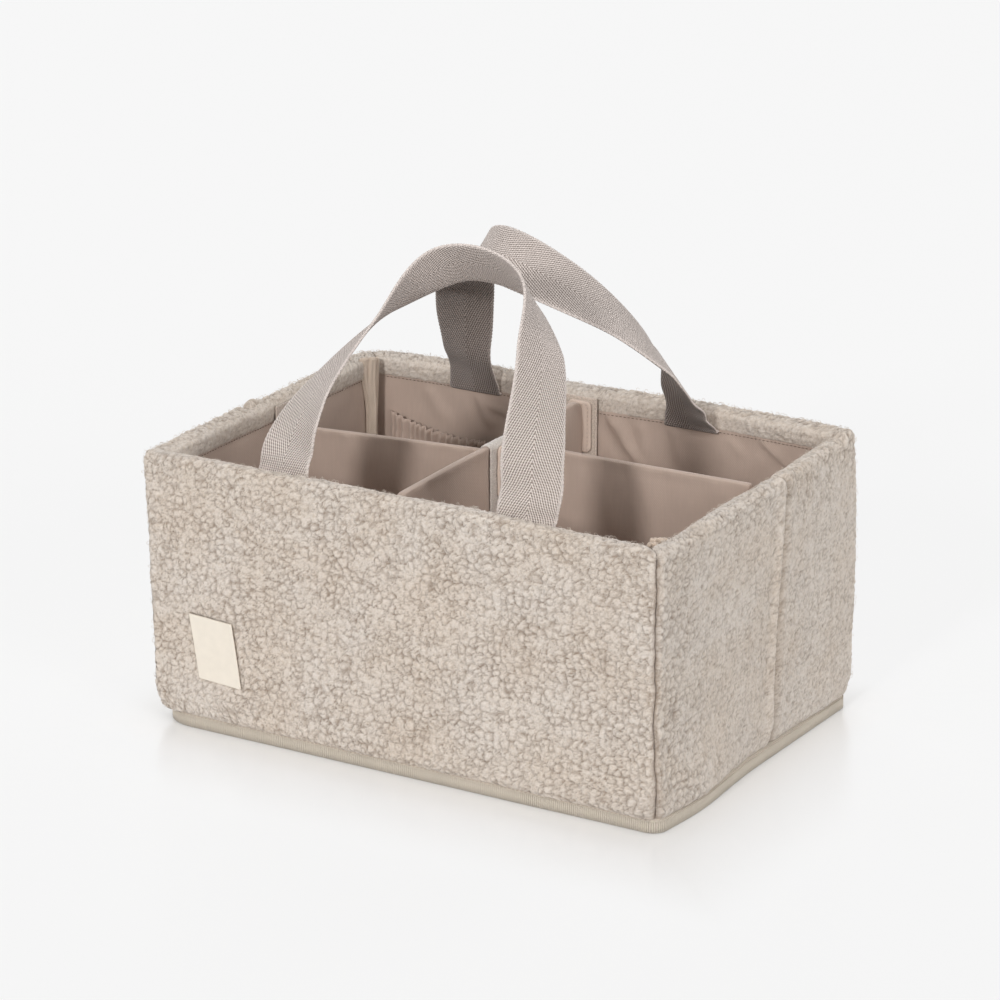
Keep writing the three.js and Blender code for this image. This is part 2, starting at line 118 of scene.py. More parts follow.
# Handles: span between the feet, rise of the arch, reach inwards, and turn in degrees. Each row is
# a point of the arch: x as a share of half the span, then shares of the rise, reach and turn.
HANDLES = {
    "front_handle": {
        "side": -1, "centre": -5, "span": 179, "rise": 130, "reach": 68, "turn": 136,
        "rows": (
            (-0.85, 0.36, 0.31, 0.36), (-0.46, 0.74, 0.68, 0.62), (-0.02, 1, 0.98, 1),
            (0.54, 0.95, 1, 0.98), (0.82, 0.68, 0.7, 0.6), (0.95, 0.34, 0.32, 0.36),
        ),
    },
    "rear_handle": {
        "side": 1, "centre": -13, "span": 169, "rise": 111, "reach": 78, "turn": 138,
        "rows": (
            (-0.99, 0.47, 0.12, 0.2), (-0.71, 0.8, 0.54, 0.7), (-0.25, 1, 0.96, 1),
            (0.31, 0.9, 1, 0.88), (0.76, 0.67, 0.77, 0.62), (0.99, 0.37, 0.42, 0.36),
        ),
    },
}
FOOT_STRETCH = 12.0
FOOT_TWISTS = {"front_handle": (-10, -16), "rear_handle": (-8, 20)}


def linear(code):
    """An sRGB hex colour as linear values with an alpha of 1."""
    levels = [int(code[i:i + 2], 16) / 255 for i in (1, 3, 5)]
    return (*[c / 12.92 if c <= 0.04045 else ((c + 0.055) / 1.055) ** 2.4 for c in levels], 1.0)


def length_property(name, description, millimetres):
    return FloatProperty(
        name=name, description=description, default=millimetres * MM, min=0.0, unit="LENGTH"
    )


def colour_property(name, description, code):
    return FloatVectorProperty(
        name=name, description=description, default=linear(code), size=4, min=0.0, max=1.0,
        subtype="COLOR",
    )


class CaddySizes(bpy.types.PropertyGroup):
    """Sizes of the cloth and the sewing."""

    curl_size: length_property("Curl size", "Width of a large curl of the pile", 5.9)
    nap_size: length_property("Nap size", "Width of a small curl of the pile", 3.3)
    curl_height: length_property("Curl height", "How far a large curl stands up", 1.9)
    fleece_step: length_property("Fleece step", "Spacing of the fleece mesh", 0.96)
    webbing_width: length_property("Webbing width", "Width of the handle webbing", 40)
    webbing_thickness: length_property("Webbing thickness", "Thickness of the webbing", 1.8)
    rib_pitch: length_property("Rib pitch", "Spacing of the ribs of the base tape", 1.5)
    stitch_length: length_property("Stitch length", "Length of one visible stitch", 2.0)
    stitch_pitch: length_property("Stitch pitch", "Spacing of the stitches of a seam", 3.0)
    thread_radius: length_property("Thread radius", "Half the thickness of the thread", 0.28)
    fibre_radius: length_property("Fibre radius", "Half the thickness of a stray fibre", 0.11)
    fibre_bend: length_property("Fibre bend", "Radius of a stray fibre's loop", 1.5)
    gathers: IntProperty(name="Gathers", description="Folds of the pocket hem", default=25, min=3)


class CaddyColours(bpy.types.PropertyGroup):
    """Colours of the cloths and the stage."""

    # The fleece colour is painted light on the curl tops; the fleece shade colour is painted shade
    # in the crevices between curls
    fleece: colour_property("Fleece", "Tops of the curls", "#DCD3CA")
    fleece_shade: colour_property("Fleece shade", "Bottoms of the curls", "#98897C")
    lining: colour_property("Lining", "Cotton of lining, dividers and pocket", "#BCA89B")
    webbing: colour_property("Webbing", "Raised yarns of the webbing", "#EBDFD8")
    # Painted shade in the hollows of the webbing's weave
    webbing_painted_shade: colour_property("Webbing shade", "Hollows of the webbing", "#84766D")
    binding: colour_property("Binding", "Ribbed tape round the base", "#CCC2B4")
    seam_tape: colour_property("Seam tape", "Tape of the bound corner seams", "#CBBAAA")
    loop_tape: colour_property("Loop tape", "Loop side of the hook and loop tape", "#DDD3CA")
    patch: colour_property("Patch", "Loop patches on the walls", "#DDCDBF")
    tab: colour_property("Tab", "Cotton of the hook tabs", "#D6C3B5")
    canvas: colour_property("Canvas", "Cloth under the base", "#9C9184")
    board: colour_property("Board", "Stiffener sheet", "#D8D4CC")
    label: colour_property("Label", "Bare cotton label", "#EFE6D8")
    elastic: colour_property("Elastic", "Braided elastic", "#C8BFB4")
    thread: colour_property("Thread", "Thread of facing and base seams", "#6E5F54")
    pale_thread: colour_property("Pale thread", "Thread of tabs and patches", "#C4B3A6")
    floor: colour_property("Floor", "Pale studio floor", "#F6F6F6")


def sizes():
    return bpy.context.scene.caddy_sizes


def colours():
    return bpy.context.scene.caddy_colours


# Numbers and shapes


def unit(rows):
    """Rows of numbers, each scaled to length 1."""
    return rows / np.linalg.norm(rows, axis=1)[:, None]


def run_along(line):
    """Distance along a line from its first point to each point."""
    return np.concatenate([[0], np.cumsum(np.linalg.norm(np.diff(line, axis=0), axis=1))])


def arc(centre, radii, start, end, count):
    """Points of part of an ellipse, across and up, from one angle in degrees to another."""
    turns = [math.radians(angle) for angle in np.linspace(start, end, count)]
    return [(centre[0] + radii[0] * math.cos(turn), centre[1] + radii[1] * math.sin(turn))
            for turn in turns]


def rows_of(*fields):
    """Fields of equal shape as one list of rows, a row for each place in them."""
    return np.stack(fields, -1).reshape(-1, len(fields))


def smooth(x):
    """Smooth step from 0 at 0 to 1 at 1."""
    x = np.clip(x, 0, 1)
    return x * x * (3 - 2 * x)


def bump(x, middle, width):
    """Round hump of height 1 and about that half width."""
    return np.exp(-(((x - middle) / width) ** 2))


def drift(u, v, size, seed):
    """Gentle random field between about -1 and 1, whose patches are about as wide as size."""
    turns = np.random.default_rng(seed).uniform(0, 2 * math.pi, (256, 256))
    a, b = u / size, v / size
    i, j = np.floor(a).astype(int), np.floor(b).astype(int)
    a, b = a - i, b - j

    def corner(di, dj):
        turn = turns[(i + di) % 256, (j + dj) % 256]
        return np.cos(turn) * (a - di) + np.sin(turn) * (b - dj)

    wa, wb = (w ** 3 * (w * (6 * w - 15) + 10) for w in (a, b))
    low = corner(0, 0) * (1 - wa) + corner(1, 0) * wa
    high = corner(0, 1) * (1 - wa) + corner(1, 1) * wa
    return 1.6 * (low * (1 - wb) + high * wb)


def curls(u, v, size, seed):
    """Distance to the nearest and to the next curl centre, in curl sizes, and the nearest one's
    oddness, a random number from 0 to 1."""
    rng = np.random.default_rng(seed)
    spots = rng.uniform(0.08, 0.92, (256, 256, 2))
    odds = rng.random((256, 256))
    a, b = u / size, v / size
    i, j = np.floor(a).astype(int), np.floor(b).astype(int)
    near = np.full(a.shape, 9.0)
    following = near.copy()
    odd = np.zeros(a.shape)
    for di in (-1, 0, 1):
        for dj in (-1, 0, 1):
            ci, cj = (i + di) % 256, (j + dj) % 256
            away = np.hypot(i + di + spots[ci, cj, 0] - a, j + dj + spots[ci, cj, 1] - b)
            closer = away < near
            following = np.where(closer, near, np.minimum(following, away))
            odd = np.where(closer, odds[ci, cj], odd)
            near = np.where(closer, away, near)
    return near, following, odd


def right_bulge(x, y):
    """How far the foot of the right wall pushes the base tape out."""
    return smooth((x - 120) / 60) * (1.2 + 4.3 * bump(y, -80, 42))


def slump(points):
    """The soft box is not quite true: the rear wall bows out between its corners and the divider,
    the right wall leans out where it folds, the front left corner flares and the rims dip a little.
    Above the rim the straps swing back to their own line."""
    x, y, z = points.T
    up = np.clip((z - WALL_BOTTOM) / (HEIGHT - WALL_BOTTOM), 0, 1.05)
    fade = 1 - smooth((z - HEIGHT - 4) / 50)
    front, rear = (smooth((y * turn - 30) / 100) * fade for turn in (-1, 1))
    left, right = (smooth((x * turn - 50) / 130) * fade for turn in (-1, 1))
    side = np.clip(x / HALF_LENGTH, -1, 1)
    moved = points.copy()
    held = 1 - 0.85 * bump(x, CROSS_X, 45)
    moved[:, 1] += 6.5 * rear * (1 - side ** 4) * held * up ** 1.6
    moved[:, 2] += (1.4 + 2.0 * side) * rear * smooth((y - 115.5) / 5) * up
    moved[:, 0] += right * bump(y, 12, 62) * (6.0 * up ** 1.6 - 2.0 * (1 - up))
    moved[:, 0] += 3.2 * right * np.sin(math.pi * np.minimum(up, 1)) * smooth((y - 40) / 70)
    moved[:, 2] += right * up ** 3 * (1.5 * bump(y, 18, 30) - 4.5 * bump(y, -88, 42))
    moved[:, 0] -= 3.0 * left * up * bump(y, -132, 90)
    moved[:, 0] += right_bulge(x, y) * (1 - smooth((z - 6) / 60))
    moved[:, 1] -= 5.0 * front * up ** 1.3 * bump(x, -190, 110)
    moved[:, 2] -= 1.7 * front * up ** 3
    return moved


def turned(points, degrees, move=(0, 0, 0)):
    """Points turned about the upright axis, then moved."""
    c, s = math.cos(math.radians(degrees)), math.sin(math.radians(degrees))
    x, y, z = points.T
    return np.stack([c * x - s * y, s * x + c * y, z], 1) + np.array(move, float)


def quads(index, flip=False):
    """Four-cornered faces between the neighbours of a grid of point numbers."""
    faces = np.stack([index[:-1, :-1], index[:-1, 1:], index[1:, 1:], index[1:, :-1]], -1)
    faces = faces.reshape(-1, 4)
    return faces[:, ::-1] if flip else faces


def grid_index(rows, columns, wrap=False):
    index = np.arange(rows * columns).reshape(rows, columns)
    return np.hstack([index, index[:, :1]]) if wrap else index


def add_object(name, data):
    """A new object in the scene."""
    made = bpy.data.objects.new(name, data)
    bpy.context.scene.collection.objects.link(made)
    return made


def make_piece(name, points, faces, material, uv=None, values=None):
    """A smooth mesh object from points and uv in millimetres; values holds one number a point."""
    mesh = bpy.data.meshes.new(name)
    faces = faces if isinstance(faces, list) else faces.tolist()
    mesh.from_pydata((points * MM).tolist(), [], faces)
    if uv is not None:
        corners = np.empty(len(mesh.loops), int)
        mesh.loops.foreach_get("vertex_index", corners)
        mesh.uv_layers.new(name="Cloth").data.foreach_set("uv", (uv[corners] * MM).ravel())
    for key, array in (values or {}).items():
        attribute = mesh.attributes.new(key, "FLOAT", "POINT")
        attribute.data.foreach_set("value", array.astype(np.float32))
    mesh.polygons.foreach_set("use_smooth", np.ones(len(mesh.polygons), bool))
    mesh.materials.append(material)
    mesh.update()
    return add_object(name, mesh)


def attach(piece, body, slot, *nodes):
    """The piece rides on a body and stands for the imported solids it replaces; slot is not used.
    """
    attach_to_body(piece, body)
    if nodes:
        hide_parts(*nodes)


def thicken(piece, thickness, offset=0.0):
    """Gives a single sheet its thickness in millimetres."""
    modifier = piece.modifiers.new("Cloth thickness", "SOLIDIFY")
    modifier.thickness = thickness * MM
    modifier.offset = offset
    modifier.use_rim = True


def pillow(width, height, thickness, rounding, step, top_radius=0.0, bottom_radius=0.0):
    """A flat piece with soft edges that stands on its lower edge: x across, y through it, z up.

    Returns points, faces, distance of each point from the edge, and the side (-1 front, 1 back)."""
    def lines(length):
        edge = rounding * np.array([0, 0.1, 0.35, 0.68])
        count = max(2, round((length - 2 * rounding) / step))
        inner = np.linspace(rounding, length - rounding, count + 1)
        return np.concatenate([edge, inner, length - edge[::-1]])

    z = lines(height)[:, None]
    share = 2 * lines(width)[None, :] / width - 1
    pinch = np.zeros_like(z)
    for radius, reach in (
            (top_radius, z - height + top_radius), (bottom_radius, bottom_radius - z)):
        reach = np.clip(reach, 0, radius)
        pinch = pinch + radius - np.sqrt(np.maximum(radius ** 2 - reach ** 2, 0))
    x = share * (width / 2 - pinch)
    z = np.broadcast_to(z, x.shape)
    radius = np.where(z > height / 2, top_radius, bottom_radius)
    qx = np.abs(x) - width / 2 + radius
    qz = np.abs(z - height / 2) - height / 2 + radius
    outside = np.hypot(np.maximum(qx, 0), np.maximum(qz, 0)) + np.minimum(np.maximum(qx, qz), 0)
    edge = np.maximum(radius - outside, 0)
    half = thickness / 2 * np.sqrt(1 - (1 - np.minimum(edge / rounding, 1)) ** 2)
    rows, columns = x.shape
    front = grid_index(rows, columns)
    inner = np.zeros(x.shape, bool)
    inner[1:-1, 1:-1] = True
    back = front.copy()
    back[inner] = rows * columns + np.arange(inner.sum())
    half[~inner] = 0
    points = np.concatenate([rows_of(x, -half, z), np.stack([x, half, z], -1)[inner]])
    side = np.concatenate([np.where(inner, -1, 0).ravel(), np.ones(inner.sum())])
    away = np.concatenate([edge.ravel(), edge[inner]])
    return points, np.concatenate([quads(front), quads(back, flip=True)]), away, side


def onto_wall(points, wall, inset):
    """Moves a piece made at the middle of the front wall's plane to its wall and inset."""
    turn, reach, along = WALLS[wall]
    return turned(points + np.array([along, inset - reach, 0]), turn)


def polyline(points, step):
    """Even steps along a line of corner points, with the direction at each."""
    points = np.asarray(points, float)
    run = run_along(points)
    at = np.linspace(0, run[-1], max(2, round(run[-1] / step)) + 1)
    even = np.stack([np.interp(at, run, column) for column in points.T], 1)
    return even, unit(np.gradient(even, axis=0)), at


# Materials

MATH, RANGE, MIX = "ShaderNodeMath", "ShaderNodeMapRange", "ShaderNodeMix"
NOISE, WAVE, SPLIT = "ShaderNodeTexNoise", "ShaderNodeTexWave", "ShaderNodeSeparateXYZ"
WAVE_PER_METRE = 628.3
# Painted shade multiplied into the inner face of the rear handle's strap
PAINTED_STRAP_SHADE_TINT = (0.42, 0.4, 0.39, 1)


def add_node(tree, kind, sockets=None, out=0, **settings):
    """Adds a node, sets its fields, fills its sockets with values or links, and gives one output,
    or all of them where out is None. A Mix node's colours are sockets 6 and 7 and its output 2."""
    node = tree.nodes.new(kind)
    for field, value in settings.items():
        setattr(node, field, value)
    for key, value in (sockets or {}).items():
        if isinstance(value, bpy.types.NodeSocket):
            tree.links.new(value, node.inputs[key])
        else:
            node.inputs[key].default_value = value
    return node.outputs if out is None else node.outputs[out]


def per(millimetres):
    """Scale of a noise or cell texture whose features are that wide."""
    return 1000 / millimetres


def shade(colour, share):
    """The same colour, darker or lighter by a share of its linear values."""
    return (*[min(1.0, c * share) for c in colour[:3]], 1.0)


def coat(tree, base, field, tint, start=0.0, end=1.0, most=1.0, blend="MIX"):
    """Lays a tint over a colour: not at all where the field is at its start, most at its end."""
    share = add_node(tree, RANGE, {0: field, 1: start, 2: end, 4: most})
    return add_node(tree, MIX, {0: share, 6: base, 7: tint}, 2, data_type="RGBA", blend_type=blend)


def close_material(tree, colour, height, relief, roughness, sheen=0.0, strength=1.0):
    """Ends a cloth material: base colour, bump of a height in millimetres, matte shader."""
    raised = add_node(tree, "ShaderNodeBump", {
        "Strength": strength, "Distance": relief * MM, "Height": height,
    })
    shader = add_node(tree, "ShaderNodeBsdfPrincipled", {
        "Base Color": colour, "Normal": raised, "Roughness": roughness,
        "Specular IOR Level": 0.25, "Sheen Weight": sheen, "Sheen Roughness": 0.5,
    })
    add_node(tree, "ShaderNodeOutputMaterial", {"Surface": shader}, out=None)


def curly_fleece(tree, place, colour):
    """Curly polyester pile: matte, with painted light on the curls and painted shade, warmer and
    darker, where the curls part.
    """
    openness = add_node(tree, "ShaderNodeAttribute", out="Fac", attribute_name="openness")
    fibres = add_node(tree, NOISE, {
        "Vector": place, "Scale": per(1.6), "Detail": 3.0, "Distortion": 1.0})
    clumps = add_node(tree, NOISE, {"Vector": place, "Scale": per(3.6), "Distortion": 0.8})
    patches = add_node(tree, NOISE, {"Vector": place, "Scale": per(42)})
    # Painted shade: the shade colour fills the crevices where the painted light share is low, the
    # fleece colour the lit curl tops
    base = coat(tree, colours().fleece_shade, openness, colour, 0.0, 0.9)
    base = coat(tree, base, patches, linear("#F8F0E6"), 0.35, 0.65, 0.4, "MULTIPLY")
    base = coat(tree, base, fibres, linear("#DACDBC"), 0.42, 0.7, 0.5, "MULTIPLY")
    lumps = add_node(tree, MATH, {0: clumps, 1: 1.2}, operation="MULTIPLY")
    height = add_node(tree, MATH, {0: fibres, 1: lumps}, operation="ADD")
    close_material(tree, base, height, relief=0.8, roughness=1.0, sheen=0.3, strength=0.6)


def cotton_twill(tree, place, colour, relief=0.18):
    """Smooth twill: fine slanting lines 1.8 mm apart, drawn coarser than real so that they show,
    with faint uneven yarns and a soft bloom at grazing light."""
    lines = add_node(tree, WAVE, {
        "Vector": place, "Scale": WAVE_PER_METRE / 1.8, "Distortion": 0.6, "Detail": 1.0,
        "Detail Scale": 2.0,
    }, "Fac", wave_type="BANDS", bands_direction="DIAGONAL")
    stretched = add_node(tree, "ShaderNodeMapping", {"Vector": place, "Scale": (1, 1, 0.12)})
    yarns = add_node(tree, NOISE, {"Vector": stretched, "Scale": per(1.6)})
    patches = add_node(tree, NOISE, {"Vector": place, "Scale": per(45)})
    base = coat(tree, colour, lines, shade(colour, 0.8), most=0.22)
    base = coat(tree, base, yarns, shade(colour, 1.14), 0.35, 0.7, 0.3)
    base = coat(tree, base, patches, shade(colour, 0.88), 0.3, 0.7, 0.25)
    height = add_node(tree, MATH, {0: lines, 1: yarns}, operation="ADD")
    close_material(tree, base, height, relief, roughness=0.78, sheen=0.2, strength=0.5)


def herringbone_webbing(tree, _, colour):
    """Woven polyester webbing: one ridge line down the middle, twill lines that run steeply off it
    to both edges, 1.7 mm apart across the strap, each a row of small yarn beads; painted shade
    darkens the hollows between the yarns and the inner face of the rear strap."""
    slope, twill_pitch, bead_pitch = 2.14, 3.6 * MM, 1.6 * MM
    cloth = add_node(tree, "ShaderNodeUVMap", uv_map="Cloth")
    split = add_node(tree, SPLIT, {"Vector": cloth}, out=None)
    along = split["Y"]
    beside = add_node(tree, MATH, {0: split["X"]}, operation="ABSOLUTE")
    climb = add_node(tree, MATH, {0: beside, 1: slope}, operation="MULTIPLY")
    line = add_node(tree, MATH, {0: along, 1: climb}, operation="SUBTRACT")
    angle = add_node(tree, MATH, {0: line, 1: 2 * math.pi / twill_pitch}, operation="MULTIPLY")
    wave = add_node(tree, MATH, {0: angle}, operation="SINE")
    angle = add_node(tree, MATH, {0: along, 1: 2 * math.pi / bead_pitch}, operation="MULTIPLY")
    bead = add_node(tree, MATH, {0: angle}, operation="SINE")
    bead = add_node(tree, MATH, {0: bead, 1: 0.5}, operation="MULTIPLY")
    ridge = add_node(tree, MATH, {0: wave, 1: bead}, operation="ADD")
    fuzz = add_node(tree, NOISE, {"Vector": cloth, "Scale": per(1.1)})
    # Painted shade in the hollows of the weave, the webbing colour on the raised yarns
    base = coat(tree, colours().webbing_painted_shade, ridge, colour, -0.95, 0.65)
    base = coat(tree, base, beside, shade(colour, 0.92), 0.0178, 0.0192)
    base = coat(tree, base, fuzz, shade(colour, 0.8), 0.35, 0.7, 0.25)
    # Painted shade: the inner face of the rear handle's strap is darkened
    reverse = add_node(tree, "ShaderNodeAttribute", out="Fac", attribute_name="reverse")
    base = coat(tree, base, reverse, PAINTED_STRAP_SHADE_TINT, blend="MULTIPLY")
    fluff = add_node(tree, MATH, {0: fuzz, 1: 0.5}, operation="MULTIPLY")
    height = add_node(tree, MATH, {0: ridge, 1: fluff}, operation="ADD")
    close_material(tree, base, height, relief=0.3, roughness=0.75, sheen=0.2, strength=0.9)


def grosgrain_tape(tree, place, colour):
    """Ribbed tape: the ribs are modelled, the weave between them is a faint grain."""
    grain = add_node(tree, NOISE, {"Vector": place, "Scale": per(0.9)})
    patches = add_node(tree, NOISE, {"Vector": place, "Scale": per(22)})
    base = coat(tree, colour, grain, shade(colour, 0.82), 0.35, 0.7, 0.4)
    base = coat(tree, base, patches, shade(colour, 1.12), 0.3, 0.7, 0.4)
    close_material(tree, base, grain, relief=0.15, roughness=0.8, sheen=0.1, strength=0.5)


def loop_pile(tree, place, colour):
    """Loop side of hook and loop tape: a felt of tiny loops, dull, light at its edges."""
    loops = add_node(tree, "ShaderNodeTexVoronoi", {"Vector": place, "Scale": per(0.9)})
    fuzz = add_node(tree, NOISE, {"Vector": place, "Scale": per(0.7), "Detail": 3.0})
    base = coat(tree, colour, loops, shade(colour, 0.72), 0.1, 0.7)
    base = coat(tree, base, fuzz, shade(colour, 1.25), 0.4, 0.7, 0.4)
    height = add_node(tree, MATH, {0: fuzz, 1: loops}, operation="SUBTRACT")
    close_material(tree, base, height, relief=0.4, roughness=0.95, sheen=0.5, strength=0.8)


def plain_weave(tree, place, colour, threads, relief=0.2):
    """Plain woven cloth: a checked grid of warp and weft, that many millimetres a thread."""
    split = add_node(tree, SPLIT, {"Vector": place}, out=None)
    upright = add_node(tree, MATH, {0: split["Y"], 1: split["Z"]}, operation="ADD")
    waves = []
    for direction in (split["X"], upright):
        angle = add_node(tree, MATH, {0: direction, 1: 2 * math.pi / (threads * MM)},
                         operation="MULTIPLY")
        waves.append(add_node(tree, MATH, {0: angle}, operation="SINE"))
    check = add_node(tree, MATH, {0: waves[0], 1: waves[1]}, operation="MULTIPLY")
    slubs = add_node(tree, NOISE, {"Vector": place, "Scale": per(5), "Detail": 3.0})
    base = coat(tree, colour, check, shade(colour, 0.84), -1.0, 1.0, 0.5)
    base = coat(tree, base, slubs, shade(colour, 1.08), 0.3, 0.75, 0.4)
    close_material(tree, base, check, relief, roughness=0.9, sheen=0.1, strength=0.6)


def matte_sheet(tree, place, colour):
    """Calendered plastic stiffener: even, dull, with a faint orange peel and scuffs."""
    peel = add_node(tree, NOISE, {"Vector": place, "Scale": per(3.5)})
    scuffs = add_node(tree, NOISE, {"Vector": place, "Scale": per(18), "Detail": 4.0})
    base = coat(tree, colour, scuffs, shade(colour, 0.88), 0.4, 0.75, 0.5)
    close_material(tree, base, peel, relief=0.1, roughness=0.5, strength=0.3)


def sewing_thread(tree, place, colour):
    """Spun polyester thread: slightly glossier than the cloth, twisted every 0.8 mm."""
    twist = add_node(tree, WAVE, {"Vector": place, "Scale": WAVE_PER_METRE / 0.8}, "Fac",
                     wave_type="BANDS", bands_direction="DIAGONAL")
    base = coat(tree, colour, twist, shade(colour, 0.7), most=0.4)
    close_material(tree, base, twist, relief=0.08, roughness=0.6, sheen=0.1, strength=0.5)


def seen_directly(tree):
    """1 for rays that show the floor or the sky itself, straight, mirrored or through glass."""
    light = add_node(tree, "ShaderNodeLightPath", out=None)
    seen = add_node(tree, MATH, {0: light["Is Camera Ray"], 1: light["Is Glossy Ray"]},
                    operation="MAXIMUM")
    return add_node(tree, MATH, {0: seen, 1: light["Is Transmission Ray"]}, operation="MAXIMUM")


def studio_floor(tree, place, tone):
    """Pale studio floor: a soft sheen that mirrors the foot of the caddy, and its shadow."""
    split = add_node(tree, SPLIT, {"Vector": place}, out=None)
    gaps = []
    for direction, reach in (("X", HALF_LENGTH), ("Y", HALF_WIDTH)):
        beside = add_node(tree, MATH, {0: split[direction]}, operation="ABSOLUTE")
        gaps.append(add_node(tree, MATH, {0: beside, 1: reach * MM}, operation="SUBTRACT"))
    away = add_node(tree, MATH, {0: gaps[0], 1: gaps[1]}, operation="MAXIMUM")
    polish = add_node(tree, RANGE, {
        0: away, 1: 0.0, 2: FLOOR_GLOSS_FADE, 3: FLOOR_GLOSS_NEAR, 4: FLOOR_GLOSS_FAR,
    }, interpolation_type="SMOOTHSTEP")
    near = add_node(tree, RANGE, {0: away, 1: 0.0, 2: FLOOR_SHADE_FADE, 3: 1.0, 4: 0.0},
                    interpolation_type="SMOOTHSTEP")
    share = add_node(tree, MIX, {
        0: near, 6: shade(tone, FLOOR_DIFFUSE), 7: shade(tone, FLOOR_DIFFUSE_NEAR),
    }, 2, data_type="RGBA")
    bright = add_node(tree, "ShaderNodeBsdfDiffuse", {"Color": share})
    share = add_node(tree, MIX, {0: near, 2: FLOOR_GLOW, 3: FLOOR_GLOW_NEAR})
    glow = add_node(tree, "ShaderNodeEmission", {"Color": tone, "Strength": share})
    lit = add_node(tree, "ShaderNodeAddShader", {0: bright, 1: glow})
    gloss = add_node(tree, "ShaderNodeBsdfGlossy", {
        "Color": (1, 1, 1, 1), "Roughness": FLOOR_ROUGHNESS})
    shown = add_node(tree, "ShaderNodeMixShader", {0: polish, 1: lit, 2: gloss})
    plain = add_node(tree, "ShaderNodeBsdfDiffuse", {"Color": shade(tone, FLOOR_BOUNCE)})
    whole = add_node(tree, "ShaderNodeMixShader", {0: seen_directly(tree), 1: plain, 2: shown})
    add_node(tree, "ShaderNodeOutputMaterial", {"Surface": whole}, out=None)


# Maker, name, colour, and where it differs the size of a thread and the relief in millimetres
FINISHES = {
    "fleece": (curly_fleece, "Curly polyester fleece", "fleece"),
    "cotton": (cotton_twill, "Brushed cotton twill", "lining"),
    "tape": (cotton_twill, "Cotton seam tape", "seam_tape", 0.25),
    "tab": (cotton_twill, "Cotton of the tabs", "tab"),
    "webbing": (herringbone_webbing, "Herringbone webbing", "webbing"),
    "grosgrain": (grosgrain_tape, "Grosgrain tape", "binding"),
    "loops": (loop_pile, "Nylon loop tape", "loop_tape"),
    "patch": (loop_pile, "Loop tape of the patches", "patch"),
    "canvas": (plain_weave, "Cotton canvas", "canvas", 1.6),
    "label": (plain_weave, "Bare cotton label", "label", 1.1, 0.12),
    "elastic": (plain_weave, "Braided elastic", "elastic", 1.3, 0.3),
    "board": (matte_sheet, "Polypropylene stiffener sheet", "board"),
    "thread": (sewing_thread, "Dark polyester thread", "thread"),
    "pale_thread": (sewing_thread, "Pale polyester thread", "pale_thread"),
    "floor": (studio_floor, "Pale studio floor", "floor"),
}
MADE_FINISHES = {}


def finish(key):
    """The material of that finish, made once: its maker fills an empty tree."""
    if key not in MADE_FINISHES:
        maker, name, colour, *numbers = FINISHES[key]
        material = MADE_FINISHES[key] = bpy.data.materials.new(name)
        material.use_nodes = True
        tree = material.node_tree
        tree.nodes.clear()
        place = add_node(tree, "ShaderNodeTexCoord", out="Object")
        maker(tree, place, tuple(getattr(colours(), colour)), *numbers)
    return MADE_FINISHES[key]


# Fleece walls

ROLL_RADIUS = 2.4
ROLL_STEPS = 10
ARC_STEPS = 7
CORNER_RADIUS = 4.5
FOOT_CORNER_RADIUS = 13.0
ROLL_RUN = ROLL_RADIUS * math.radians(135)


def shell_section():
    """Section of the fleece from its lower edge up the outer face, over the rim and down inside:
    inset, height, the outward direction in both, and the run along it."""
    foot, crest, crest_rise, fall = 4.5, 4.2, 4.8, 5.5
    facing_end = HEIGHT - FACING_DROP
    line = arc((foot, WALL_BOTTOM + foot), (foot, foot), -90, -180, 8)
    line += arc((crest, HEIGHT - crest_rise), (-crest, crest_rise), 0, 90, 14)
    for angle in np.linspace(8, 90, 16):
        a = math.radians(angle)
        rise = fall * math.cos(a) ** 0.8 if angle < 90 else 0
        line.append((crest + (FACING_FACE - crest) * math.sin(a), HEIGHT - fall + rise))
    line += [(FACING_FACE - 0.1, HEIGHT - 8.5), (13.1, facing_end + 0.9), (12.4, facing_end),
             (9.6, facing_end)]
    even, way, run = polyline(line, sizes().fleece_step / MM)
    return even, np.stack([-way[:, 1], way[:, 0]], 1), run


def wall_run(length, inset, height, place):
    """Where a point of the wall lies: distance from the seamed corner along the wall, and inset.

    place runs from -1 to 0 over the rolled-in seam, 0 to 1 along the wall, 1 to 2 round half the
    plain corner."""
    widen = 1 - smooth((height - WALL_BOTTOM) / 15)
    radius = CORNER_RADIUS + (FOOT_CORNER_RADIUS - CORNER_RADIUS) * widen
    roll = np.maximum(ROLL_RADIUS + 2.0 * widen - inset, 0.3)
    reach = np.maximum(radius, inset + 0.6)
    bend = np.maximum(radius - inset, 0.6)
    start = inset + (1 + math.sqrt(2)) * roll
    end = length - reach
    along = start + (end - start) * np.clip(place, 0, 1)
    depth = inset.copy()
    seam = place < 0
    angle = np.radians(-90 - 135 * place)
    along = np.where(seam, start + roll * np.cos(angle), along)
    along = np.where(seam, 2 * start - along, along)
    depth = np.where(seam, inset + roll + roll * np.sin(angle), depth)
    corner = place > 1
    angle = np.radians(45 * (place - 1))
    along = np.where(corner, end + bend * np.sin(angle), along)
    depth = np.where(corner, reach - bend * np.cos(angle), depth)
    return along, depth


def curl_layer(u, v, size, seed, gap, onset, full):
    """One layer of curls: their domes, the height beside a parting, the painted shade of the gaps
    between them, and their oddness. Gaps start at the onset's oddness and are full that much
    further on."""
    near, following, odd = curls(u, v, size / MM, seed)
    dome = np.sqrt(np.clip(1 - (near / 0.9) ** 2, 0, 1))
    parting = smooth((following - near) / (0.2 + 0.4 * odd))
    painted_gap_shade = np.exp(-((following - near) / gap) ** 2) * smooth((odd - onset) / full)
    return dome, parting, painted_gap_shade, odd


